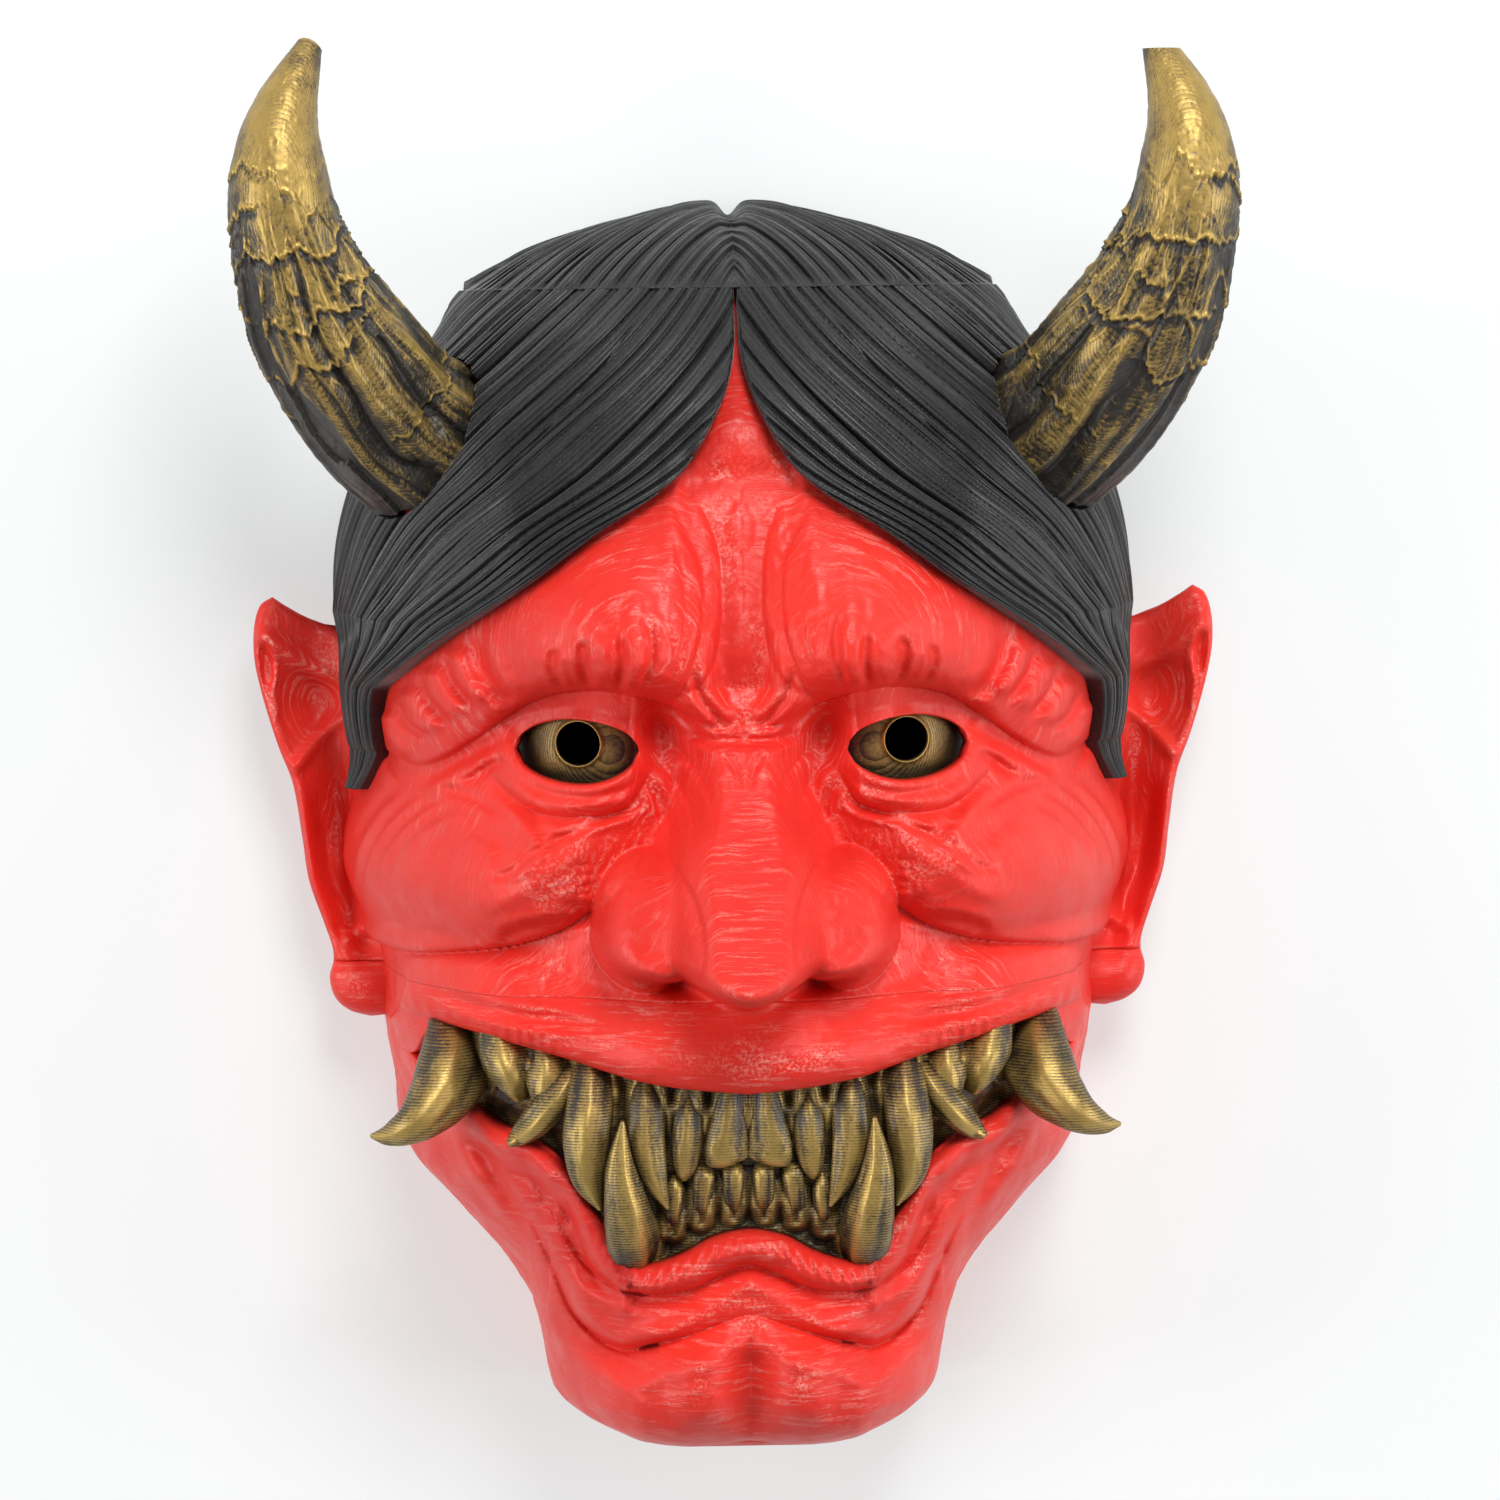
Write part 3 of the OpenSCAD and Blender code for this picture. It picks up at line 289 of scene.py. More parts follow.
# Wrinkles and folds of one half of the face: kind, height, width and the line that they follow
STROKES = [
    # Brow: terraces round its inner side and short upright pleats over the eye
    ("fold", 1.2, 1.5, [(9.4, 50.5), (5.2, 41), (4.1, 28), (6.4, 16.2), (12.4, 9.8)]),
    ("fold", 1.4, 1.7, [(14.6, 50.5), (12.2, 45), (8.2, 35.8), (8.5, 22.6), (12.5, 12), (15, 9)]),
    ("fold", 0.6, 1.3, [(14.6, 46), (11.8, 33.1), (12.2, 21.3), (16.2, 11.5)]),
    ("groove", 0.9, 1, [(19, 28), (18, 20), (20.6, 10.6)]),
    ("groove", 0.9, 0.9, [(24.4, 24), (23.6, 18), (25, 11)]),
    ("groove", 1.2, 1.1, [(31, 23), (31.6, 18), (29.6, 11)]),
    ("ridge", 0.7, 1.5, [(21.6, 24), (20.6, 18), (22.8, 11)]),
    ("ridge", 0.7, 1.5, [(28, 24), (27.4, 18), (27.4, 11.6)]),
    ("groove", 0.9, 1, [(36.6, 21), (37.6, 17), (35.4, 11)]),
    # Middle of the forehead
    ("ridge", 0.7, 2.6, [(0, 52), (0, 40), (0, 24), (0, 9)]),
    ("groove", 0.5, 2, [(-3, 53.6), (4, 53.8), (9, 52.6), (13, 50)]),
    # Frown between the brows
    ("ridge", 1.2, 1.7, [(7.6, 19), (6.6, 13), (4.2, 8.4), (1.6, 5)]),
    ("groove", 0.7, 0.9, [(9.8, 17), (9, 11.5), (5.8, 7), (2.2, 3.2)]),
    ("ridge", 1.1, 1.5, [(12.6, 11), (9.4, 7.2), (5.4, 4)]),
    ("groove", 0.6, 0.8, [(15.4, 10), (11.4, 5.2), (8.2, 3.2)]),
    ("groove", 1.5, 1.1, [(-2, 1.6), (3, 1.5), (7, 1.6), (12, 3.2)]),
    ("groove", 0.5, 0.8, [(5.2, 1), (2.2, -3), (0.6, -8)]),
    # Side of the nose below the inner corner of the eye
    ("fold", 1, 1.9, [(15.6, 0.6), (10.8, -3.3), (7.8, -8.3), (6.6, -13)]),
    ("fold", 1.1, 2, [(19, -1.6), (14.6, -6), (11.2, -12), (10.4, -18)]),
    ("groove", 0.7, 1.2, [(20.5, -6), (17, -10.5), (14.6, -17), (14.6, -22)]),
    ("ridge", 1.6, 2.2, [(11, -14), (12.6, -22), (12.4, -31), (9.6, -41)]),
    # Outer brow: a fan of knobs that rolls under above the temple
    ("groove", 2, 1.9, [(53.5, 24), (52.2, 16), (49, 11), (43.5, 8.6)]),
    ("ridge", 2.4, 2.2, [(57, 20.5), (55, 14), (50.4, 8.4)]),
    ("groove", 1.6, 1.1, [(58.8, 18.5), (57.4, 12.6), (52.6, 6.2)]),
    ("ridge", 2.2, 2.1, [(61.4, 16), (60, 10.4), (55, 4.6)]),
    ("groove", 1.6, 1.1, [(63.8, 13.5), (61.8, 8), (57.4, 3)]),
    ("ridge", 2.2, 2, [(66.4, 11), (64.2, 5.6), (59.4, 1.4)]),
    ("groove", 1.4, 1, [(68, 7.5), (66.4, 3), (61.6, 0)]),
    ("ridge", 2.2, 2, [(70.2, 5.5), (69, 0.2), (66, -4.5)]),
    ("fold", 2, 2.2, [(74, 7), (74.6, 0), (72.4, -6.5), (68.4, -10.5)]),
    # Crow's feet
    ("groove", 1.2, 1.5, [(45.6, 3), (50.4, -0.2), (56, -3.6), (61, -6.6), (66, -9)]),
    ("ridge", 1.3, 1.6, [(48.5, -1.4), (54, -4.2), (60, -8), (65, -12)]),
    ("groove", 1, 1.1, [(47.4, -2.4), (51.8, -5.4), (56, -9.4)]),
    # Lower lid and the bags under the eye
    ("groove", 0.5, 1, [(46.4, -4.2), (40.1, -8.6), (32.2, -9.6), (24.2, -8), (21.4, -4.6)]),
    ("groove", 1.3, 1.3, [
        (51, -5.6), (45.4, -11), (39.1, -13.4), (30.2, -13.2), (22.6, -11.6), (20.2, -6.1),
    ]),
    ("groove", 0.4, 0.9, [(43.5, -10.2), (36, -11.6), (28, -11.2), (23.4, -9.6)]),
    ("groove", 0.9, 1.4, [(45, -11.6), (41, -15.2), (37.2, -19.6)]),
    # Cheek
    ("groove", 0.9, 0.9, [
        (21, -11.6), (28.1, -14), (36.1, -17.4), (42, -20.6), (46.9, -24.7), (51.5, -26),
    ]),
    ("ridge", 1.5, 2.4, [(50, -13.6), (44.6, -15.2), (41.2, -19.4), (43, -23), (48.9, -25.3)]),
    ("groove", 0.8, 1.8, [(56, -16.4), (49.5, -18.4), (47.2, -21.6)]),
    ("ridge", 1, 2.2, [(27, -17), (36, -22), (46, -29), (56, -33)]),
    ("fold", 1.3, 2, [(76.6, -9), (80.6, -17), (81, -26), (79.6, -34)]),
    ("groove", 1, 1, [(70, -10.4), (74.6, -17), (76.4, -26), (75.4, -36)]),
    ("groove", 0.9, 0.9, [(65.4, -10.6), (70.6, -16.8), (73.4, -25), (73.2, -36)]),
    ("groove", 0.8, 0.9, [(60.6, -11.4), (66.6, -16.4), (70.4, -24), (70.8, -34)]),
    ("groove", 0.6, 0.9, [(56.6, -12.6), (62.8, -16.4), (67, -22.6), (68, -30)]),
    ("groove", 0.6, 1, [(62.6, -9.2), (54.6, -11), (48.6, -13.6)]),
    ("groove", 1.2, 1.5, [(36.5, -30.6), (32.8, -33.6), (44.4, -36.4), (50, -38.6)]),
    # Upper lip and its corner
    ("fold", 2.6, 2.2, [(70.6, -62), (66.6, -56.4), (64.6, -50.6), (67.6, -46.8)]),
    ("groove", 1.2, 1.4, [(60, -50.4), (52, -52.6), (40, -54.4), (28, -55.6)]),
    # Jaw below the corner of the mouth
    ("groove", 1.8, 2, [(57.4, -76.6), (54, -83.6), (49.6, -91.6), (44.6, -99)]),
    ("ridge", 1.6, 2.6, [(60.8, -76), (57.2, -84.6), (52.6, -93)]),
    ("groove", 1, 1.6, [(46.4, -81), (42, -88), (38.8, -95.6)]),
    ("groove", 1.2, 1.6, [(39.6, -86), (36.4, -93), (34.8, -99)]),
    # Chin
    ("groove", 1.5, 1.8, [
        (38, -98), (34, -106), (29, -110), (21.6, -111.8), (13.2, -111), (6.6, -108.3), (0, -105.8),
        (-6, -108.2),
    ]),
    ("groove", 1.9, 2.4, [
        (41, -104), (38.4, -113.5), (35.4, -120), (30.6, -124.3), (25, -125.4), (20.4, -123.3),
        (14, -120.7), (7, -117.6), (0, -115.2), (-6, -117.4),
    ]),
    ("ridge", 1.3, 2.6, [
        (37.4, -104), (35, -112), (30, -119.4), (24, -121.2), (16, -117.6), (8, -114),
    ]),
    ("groove", 1.2, 2.4, [(26, -114), (18, -114.6), (9, -112.4), (0, -110.4), (-6, -111.4)]),
    ("groove", 1.5, 4.2, [(0, -121), (0, -127), (0, -134), (0, -143)]),
    ("ridge", 1.1, 4.4, [(8.4, -120.5), (9.8, -128), (9.6, -139)]),
    ("groove", 0.8, 3, [(16.5, -124), (18, -131), (17, -139)]),
    ("ridge", 0.9, 3.4, [(25, -128.5), (27.5, -133), (27, -139)]),
]


def nose_relief(x, z):
    """The ridge of the nose, overhanging at its tip, with a round wing beside it."""
    half = curve(NOSE_HALF, z)
    nose = curve(NOSE_LINE, z - 0.50 * (np.hypot(np.minimum(x, 20), 3) - 3) * ramp(-32, -43, z))
    bridge, foot = mix(0.55, 0.36, ramp(-20, -34, z)), mix(1.85, 1.62, ramp(-16, -32, z))
    nose = nose * (1 - ramp(half * bridge, half * foot, x))
    wing_z = np.where(z > NOSE_WING_Z, NOSE_WING_Z + 0.66 * (z - NOSE_WING_Z), z)
    wing = 17.8 * ramp(0, 1, dome(x, wing_z, 19.6, NOSE_WING_Z, 11.4, 11.4))
    return smooth_max(nose, wing, ramp(0, 5, wing) * mix(4, 10, ramp(-42, -28, z)))


def eye_relief(x, z):
    """The bag under the eye, the hollows round it and the double rim of its lid."""
    bag = 2.6 * bulge(above(BAG_LINE, x, z), 5, 7) * ramp(16, 24, x) * (1 - ramp(46, 56, x))
    socket = -3.0 * bell(x, z, 34, 3.5, 17, 9) - 4.5 * bell(x, z, 18.0, 3.0, 4.2, 6.5)
    ring = np.sqrt(((x - 33.2) / 12.6) ** 2 + ((z - EYE_LEVEL) / 6.3) ** 2)
    return bag + socket + 0.7 * peak(ring, 1.13, 0.17) + 0.6 * peak(ring, 1.0, 0.10)


def mouth_relief(x, z):
    """Both lips, the chin with the panel above it, and the nostril."""
    lip = curve(LIP_RISE, x) * ramp(-38, -46, z) * (1 - ramp(-58, -80, z))
    over, under = above(UPPER_LIP, x, z), -above(LOWER_LIP, x, z)
    rolled = 3.4 * bulge(over, 4, 12) * (1 - ramp(60, 70, x)) * ramp(-72, -50.5, z) ** 0.2
    pout = 4.6 * bulge(under, 3.2, 5.0) * (1 - ramp(60, 70, x)) * (z < -60)
    chin = 8.0 * bulge(-above(CHIN_LINE, x, z), 7, 28) * ramp(-6, 14, x) * (1 - ramp(34, 47, x))
    panel = 3.2 * bulge(-above(PANEL_LINE, x, z), 4, 12) * ramp(46, 34, x) * ramp(-128, -118, z)
    nostril = -8.0 * bell(x, z - 0.25 * (x - 16.6), 16.6, -46.4, 6.6, 1.9)
    return lip + rolled + pout + chin + panel + nostril


def relief(x, z, marks=True):
    """How far the face stands out from the plain head at distance x from the middle and height z."""
    brow = curve(BROW_RISE, x) * bulge(above(BROW_LINE, x, z), 8, 42) + 2.6 * bell(x, z, 27, 25, 14, 15)
    cheek = curve(CHEEK_RISE, x) * bulge(above(CHEEK_LINE, x, z), 13, 26)
    boss = 3.2 * bell(x, z, 0, 63, 9, 8.5)
    nose = nose_relief(x, z)
    rise = nose + brow * (1 - ramp(2, 9, nose)) + cheek * (1 - 0.6 * ramp(4, 14, nose)) + boss
    rise = rise + eye_relief(x, z) + mouth_relief(x, z)
    if marks:
        rise = rise + strokes(x, z, STROKES) + scallops(x, z) + roughness(x, z)
    return rise


SCALLOP = 2.3  # from one rib of a lip to the next


def scallops(x, z):
    """Short upright ribs along the edges of both lips."""
    under = -above(LOWER_LIP, x, z)
    low = 0.34 * np.cos((x + 0.35 * z) * 2 * math.pi / SCALLOP) * bulge(under, 1.5, 4.5)
    over = above(UPPER_LIP, x, z)
    high = 0.30 * np.cos(x * 2 * math.pi / SCALLOP) * bulge(over, 1.5, 5.0) * ramp(34, 44, x) * (z < -45)
    return low * (1 - ramp(24, 34, x)) * (z < -60) + high


def roughness(x, z):
    """The uneven surface between the folds, coarser on the cheek beside the nose."""
    fine = 0.10 * fractal(x * 0.55, z * 0.55, 3) + 0.22 * fractal(x * 0.13, z * 0.13, 9)
    beside_nose = 0.5 * np.abs(fractal(x * 0.5, z * 0.5, 21)) * bell(x, z, 29, -27, 8, 6)
    return fine + beside_nose


def plain_relief(s, z):
    """The relief without its marks, at share s of the half width and height z."""
    return relief(np.abs(half_width(z) * s), z, marks=False)


def skin(s, z, out, rise):
    """A place on the face at share s of the half width and height z, raised by a relief, or further out."""
    x = half_width(z) * s
    turn = ramp(0.62, 1, np.abs(s))
    across = x + np.sign(s) * rise * turn * 0.6 + s**3 * out
    front = -(depth(z) + out) * bow(s, z) - rise * (1 - turn)
    return np.stack(np.broadcast_arrays(across, front, z), -1)


# ---------------------------------------------------------------- meshes

# A part of a mesh is (points in millimetres, faces, coat): the coat says how much gold paint each point
# keeps, and on horns and teeth it also holds painted light: more gold where the surface faces forward, less
# on a horn's flanks
FINE = 4  # the inside of a shell has one step for this many of the outside


def add_object(name, data):
    made = bpy.data.objects.new(name, data)
    bpy.context.scene.collection.objects.link(made)
    return made


def weld(name, parts):
    """A smooth mesh object from several parts."""
    points, faces, coats, start = [], [], [], 0
    for part_points, part_faces, coat in parts:
        points.append(np.asarray(part_points) * MM)
        faces += [tuple(start + i for i in face) for face in part_faces]
        coats.append(np.zeros(len(part_points)) if coat is None else coat)
        start += len(part_points)
    mesh = bpy.data.meshes.new(name)
    mesh.from_pydata([tuple(point) for point in np.concatenate(points)], [], faces)
    mesh.attributes.new("gilt_and_painted_light", "FLOAT", "POINT").data.foreach_set("value", np.concatenate(coats))
    mesh.polygons.foreach_set("use_smooth", [True] * len(mesh.polygons))
    mesh.update()
    return add_object(name, mesh)


def shell_faces(rows, cols, slits, capped):
    """Faces of a wall between an outer grid and an inner one that has one vertex for several outer ones.

    A slit (row, first, last) opens a hole between that row and the next, its twin. A capped wall ends in a
    bottom that joins the two halves of its last row."""
    outer_count = (rows + 1) * (cols + 1)
    twins = {slit[0] + 1 for slit in slits}
    # Rows of the inner grid: one for every few outer rows on each side of a twin
    marks, start = [], 0
    for stop in sorted({slit[0] for slit in slits}) + [rows]:
        marks += list(range(start, stop + 1, FINE))
        start = stop + 1
    inner_row = {r: k for k, r in enumerate(marks)}
    steps = [(a, b) for a, b in zip(marks, marks[1:]) if b not in twins]
    faces = []

    def joined(r, c):
        """A twin row is the row before it, except inside its slit."""
        inside = any(slit[0] == r - 1 and slit[1] < c < slit[2] for slit in slits)
        return r - 1 if r in twins and not inside else r

    def out(r, c):
        return joined(r, c) * (cols + 1) + c

    def inn(r, c):
        return outer_count + inner_row[joined(r, c)] * (cols // FINE + 1) + c // FINE

    def add_face(ring, flip):
        """Adds a face without its doubled corners."""
        faces.append(tuple(dict.fromkeys(ring[::-1] if flip else ring)))

    def strip(r, first, last, flip):
        for c in range(first, last, FINE):
            add_face([out(r, c + i) for i in range(FINE + 1)] + [inn(r, c + FINE), inn(r, c)], flip)

    def cap(line, flip):
        last = len(line) - 1
        for i in range(last // 2):
            add_face([line[i], line[i + 1], line[last - i - 1], line[last - i]], flip)

    for r in range(rows):
        if r + 1 not in twins:
            base, under = ([out(row, c) for c in range(cols + 1)] for row in (r, r + 1))
            faces += [(under[c], under[c + 1], base[c + 1], base[c]) for c in range(cols)]
    for a, b in steps:
        for c in range(0, cols, FINE):
            faces.append((inn(a, c), inn(a, c + FINE), inn(b, c + FINE), inn(b, c)))
    strip(0, 0, cols, False)
    for row, first, last in slits:
        strip(row, first, last, True)
        strip(row + 1, first, last, False)
    for a, b in steps:
        for c in (0, cols):
            add_face([out(r, c) for r in range(a, b + 1)] + [inn(b, c), inn(a, c)], flip=c > 0)
    if capped:
        low, high = [out(rows, c) for c in range(cols + 1)], [inn(rows, c) for c in range(0, cols + 1, FINE)]
        cap(low, True)
        cap(high, False)
        faces.append((low[0], low[-1], high[-1], high[0]))
    else:
        strip(rows, 0, cols, True)
    return faces, marks


def build_shell(outer, inner, slits=(), capped=False, coat=None):
    """A closed wall between two grids of points."""
    faces, marks = shell_faces(outer.shape[0] - 1, outer.shape[1] - 1, slits, capped)
    points = np.concatenate([outer.reshape(-1, 3), inner[marks][:, ::FINE].reshape(-1, 3)])
    used = sorted({i for face in faces for i in face})
    new = {old: k for k, old in enumerate(used)}
    faces = [tuple(new[i] for i in face) for face in faces if len(face) > 2]
    if coat is not None:
        coat = np.concatenate([coat.ravel(), np.zeros(len(points) - coat.size)])[used]
    return points[used], faces, coat


# Columns of the face's grid: from the middle to the eye, across the eye, and round to the rim
EYE_SHARES = [(EYE_X + 0.4 + side * EYE_WIDTH / 2) / float(half_width(EYE_LEVEL)) for side in SIDES]


def half_columns(near, across, round_side):
    """Shares of the half width, from the middle of the face to its rim, in that many steps for each part."""
    inner = np.linspace(0, EYE_SHARES[0], near + 1)[:-1]
    middle = np.linspace(EYE_SHARES[0], EYE_SHARES[1], across + 1)[:-1]
    turn = np.linspace(math.asin(EYE_SHARES[1]), math.pi / 2, round_side + 1)
    return np.concatenate([inner, middle, np.sin(turn)])


HALF_COLUMNS = half_columns(56, 64, 120)
COLUMNS = np.concatenate([-HALF_COLUMNS[:0:-1], HALF_COLUMNS])
MIDDLE = len(HALF_COLUMNS) - 1
# Rows of the grid: over and below the slit of the eyes, then over and below the slit of the mouth
OVER_EYES, BELOW_EYES, LIP_ROWS, JAW_ROWS = 200, 120, 60, 220


def column_at(share):
    """The column nearest to a share that the inner grid has too."""
    return int(round(np.argmin(np.abs(COLUMNS - share)) / FINE) * FINE)


LID_REACH = 24  # how far over and below the eye its rows are bent


def lid_height(s):
    """Half the height of the eye's opening."""
    e = (np.abs(s) - sum(EYE_SHARES) / 2) / (EYE_SHARES[1] - EYE_SHARES[0]) * 2
    return EYE_HEIGHT / 2 * np.sqrt(np.clip(1 - e * e, 0, None))


def face_grids(z):
    """Outer and inner grids of points for a grid of heights, the right half mirrored onto the left."""
    s = np.broadcast_to(COLUMNS[MIDDLE:], z[:, MIDDLE:].shape)
    zh = z[:, MIDDLE:]
    x = half_width(zh) * s
    plain = plain_relief(s, zh)
    outer = skin(s, zh, 0, relief(x, zh))
    # The inside is smooth. Beside the nose it lies further back, so that no light passes the eye there
    inner = skin(s, zh, -WALL, plain - 0.4 - 8.0 * bell(x, zh, 16.5, EYE_LEVEL - 1, 8, 10))
    both = []
    for half in (outer, inner):
        mirrored = half[:, :0:-1].copy()
        mirrored[..., 0] *= -1
        both.append(np.concatenate([mirrored, half], 1))
    return both


def upper_heights():
    """Heights of the upper half's rows, which part round the eyes like lids."""
    over = 1 - np.linspace(0, 1, OVER_EYES + 1) ** 0.8
    over = EYE_LEVEL + (CROWN_Z - EYE_LEVEL) * over
    below = EYE_LEVEL + (SEAM_Z - EYE_LEVEL) * np.linspace(0, 1, BELOW_EYES + 1)
    z0 = np.concatenate([over, below])
    sign = np.concatenate([np.ones(OVER_EYES + 1), -np.ones(BELOW_EYES + 1)])
    weight = (1 - np.clip(np.abs(z0 - EYE_LEVEL) / LID_REACH, 0, 1)) ** 2
    return z0[:, None] + (sign * weight)[:, None] * lid_height(COLUMNS)[None]


def lower_heights():
    """Heights of the lower half's rows: the upper lip, then the jaw below the mouth, to a cleft chin."""
    s = np.abs(COLUMNS)
    corner = LOWER_LIP[-1][0]
    x = np.minimum(s, MOUTH_OUT) / MOUTH_OUT * corner
    top = mix(curve(UPPER_LIP, x), curve(LOWER_LIP, x), ramp(corner - 8, corner, x))
    low = curve([(min(MOUTH_OUT, px / float(half_width(pz))), pz) for px, pz in LOWER_LIP], s)
    lip = mix(SEAM_Z, top[None], np.linspace(0, 1, LIP_ROWS + 1)[:, None])
    chin = CHIN_Z + 1.9 * peak(s, 0, 0.2) + 1.4 * ramp(0.9, 1.0, s)
    jaw = mix(low[None], chin[None], np.linspace(0, 1, JAW_ROWS + 1)[:, None] ** 1.1)
    return np.concatenate([lip, jaw])


def upper_face():
    outer, inner = face_grids(upper_heights())
    left = (OVER_EYES, column_at(-EYE_SHARES[1]), column_at(-EYE_SHARES[0]))
    right = (OVER_EYES, column_at(EYE_SHARES[0]), column_at(EYE_SHARES[1]))
    return build_shell(outer, inner, [left, right])


def lower_face():
    outer, inner = face_grids(lower_heights())
    inner[-1, :, 2] += WALL
    mouth = (LIP_ROWS, column_at(-MOUTH_OUT), column_at(MOUTH_OUT))
    return build_shell(outer, inner, [mouth], capped=True)


# ---------------------------------------------------------------- ears

EAR_Y = -16.0
# Each row down the ear: its share, the height of its root, then the place across and the height of its edge
EAR_ROWS = [
    (0.00, 20, 97.2, 27.2), (0.05, 17.5, 99.8, 25.4), (0.12, 13.5, 101.2, 20.4), (0.19, 9.5, 101.2, 14),
    (0.27, 4.5, 99.9, 7.3), (0.34, -1, 98.2, 1), (0.41, -6.5, 96.3, -5), (0.50, -13.5, 93.6, -12.5),
    (0.60, -24, 91.9, -23.5), (0.70, -33, 90.6, -33), (0.78, -42, 87.6, -42),
    (0.83, -47, 86, -47), (0.86, -50, 85.8, -50), (0.90, -53.5, 86.7, -53.8),
    (0.945, -57, 85.6, -58.2), (0.98, -60, 82.4, -61), (1.00, -61.5, 78.4, -62.2),
]
EAR_SEAM, EAR_GAP = 0.86, 0.001  # share down the ear where the lobe of the lower face begins
EAR_MARKS = [
    ("ridge", 2.2, 2, [(101.2, 22), (98.6, 19.2), (95, 16.4), (91, 13.2), (86.6, 10.4), (82, 7.4)]),
    ("groove", 1.4, 1.2, [(99.4, 18.4), (98.6, 13.5), (98.2, 7.5)]),
    ("ridge", 1, 0.9, [(96.4, 13.6), (97, 7.5), (96, 0.5)]),
    ("ridge", 2, 1.6, [(80.5, 4), (86.5, -1.4), (91, -6.6), (94, -10.4)]),
    ("ridge", 1.6, 1.6, [
        (93, -9), (91.4, -16.6), (90.4, -24.6), (89, -32.6), (86.2, -39.6), (84.6, -45),
    ]),
    ("groove", 1.2, 1.2, [(89.6, -12), (88.4, -19), (87.8, -26), (86, -34), (83.6, -39)]),
    ("ridge", 1.8, 1.6, [(84.4, -45.2), (81.2, -44.4), (78.4, -41.8)]),
]


def ear_rings(first, last, count):
    """Closed outlines of the right ear's cross-sections from the row at share first to the one at last."""
    share = np.linspace(first, last, count)
    across = np.sin(np.linspace(0, 1, 41) * math.pi / 2) ** 0.8
    root_z, edge_x, edge_z = (curve([(row[0], row[k]) for row in EAR_ROWS], share) for k in (1, 2, 3))
    root_s = np.full_like(root_z, 0.9865)
    root_x = skin(root_s, root_z, 0, plain_relief(root_s, root_z))[:, 0] - 2.6
    rings = []
    for k in range(count):
        t = share[k]
        sag = 2.6 * (1 - ramp(0, 0.24, t))
        ends = rounded((t + 0.004) / 0.07) * rounded((1.004 - t) / 0.10)
        x = mix(root_x[k], edge_x[k], across)
        z = mix(root_z[k], edge_z[k], across) - sag * np.sin(np.pi * across)
        length = max(edge_x[k] - root_x[k], 4.0)
        lobe = ramp(0.80, 0.92, t)
        thick = mix(mix(11.0, 4.4, ramp(0, 0.55, across)), 12.0, lobe)
        edge = (length * (1 - across)) / mix(2.4, 6.5, lobe)
        half = 0.5 * thick * rounded(edge) * ends
        middle = EAR_Y + mix(1.5, -2.4, ramp(0.3, 1.0, across)) * (1 - lobe) - lobe
        cup = 4.6 * bell(x, z, 89.5, 4.0, 7.0, 8.0) + 6.2 * bell(x, z, 84.6, -24.0, 5.2, 17.0)
        marks = strokes(x, z, EAR_MARKS) * (1 - lobe) * np.clip(edge * 2, 0, 1) * ends
        cup = cup * (1 - lobe) * np.clip(edge * 0.8, 0, 1) * ends
        front, back = middle - half + cup - marks, middle + half + cup * 0.6
        rings.append(np.concatenate([np.stack([x, front, z], 1), np.stack([x, back, z], 1)[::-1][1:]]))
    return rings


def ring_faces(count, steps):
    """Faces between rings of count points each, for each pair of rings in steps."""
    faces = []
    for k, n in steps:
        for j in range(count):
            m = (j + 1) % count
            faces.append((k * count + j, k * count + m, n * count + m, n * count + j))
    return faces


def sweep(rings, side, coats=None):
    """A closed solid through rings that all have as many points, mirrored for the left side."""
    count, last = len(rings[0]), len(rings) - 1
    faces = ring_faces(count, [(k, k + 1) for k in range(last)])
    faces.append(tuple(range(count))[::-1])
    faces.append(tuple(range(last * count, (last + 1) * count)))
    if side > 0:
        faces = [face[::-1] for face in faces]
    return np.concatenate(rings) * [side, 1, 1], faces, None if coats is None else np.concatenate(coats)


def ears(first, last, count):
    """Both ears from the row at share first to the one at last."""
    rings = ear_rings(first, last, count)
    return [sweep(rings, side) for side in SIDES]


# ---------------------------------------------------------------- hair

HAIR_THICK = 7.0
LOCK_TOP, LOCK_TIP = 91.0, -12.5
# Edges of a lock towards the parting and towards the ear, by height, as shares of the half width
LOCK_IN = [
    (-12.5, 0.94), (-3, 0.905), (9, 0.885), (13, 0.84), (22.5, 0.71), (33, 0.53), (42.5, 0.37), (50.6, 0.21),
    (56, 0.135), (67, 0.055), (74, 0.02), (80, 0.006), (91, 0.004),
]
LOCK_OUT = [(-12.5, 0.975), (-3, 0.98), (9, 0.984), (17, 0.99), (24, 1), (91, 1)]
CROWN_HEIGHT = 17.8
# How much of that height is left, by share of the half width
CROWN_RISE = [(0, 1), (0.2, 0.98), (0.4, 0.86), (0.6, 0.7), (0.8, 0.46), (0.92, 0.25), (1, 0.08)]
HORN_ROOT = (62.96, -44.16, 60.0)
HORN_AXIS = (0.714, -0.442, 0.543)
HORN_SOCKET, SOCKET_RADIUS = (60.6, -44.2, 59.8), 17.6  # where the hair stops short of the horn
# How far the strands lean towards the parting, by height
SWEEP = [(-12, 0), (30, 0), (50, 0.03), (70, 0.13), (91, 0.27)]
HEAD_ROUND = 105.0  # length round the head for each radian
STRAND_RUN = 30.0  # length along a strand over which it changes
# How many strands lie side by side, their height, how blunt they are and the seed of their noise
STRANDS = [(7, 2.2, 1.6, 43), (20, 2.8, 2.0, 46), (58, 0.9, 2.0, 50)]


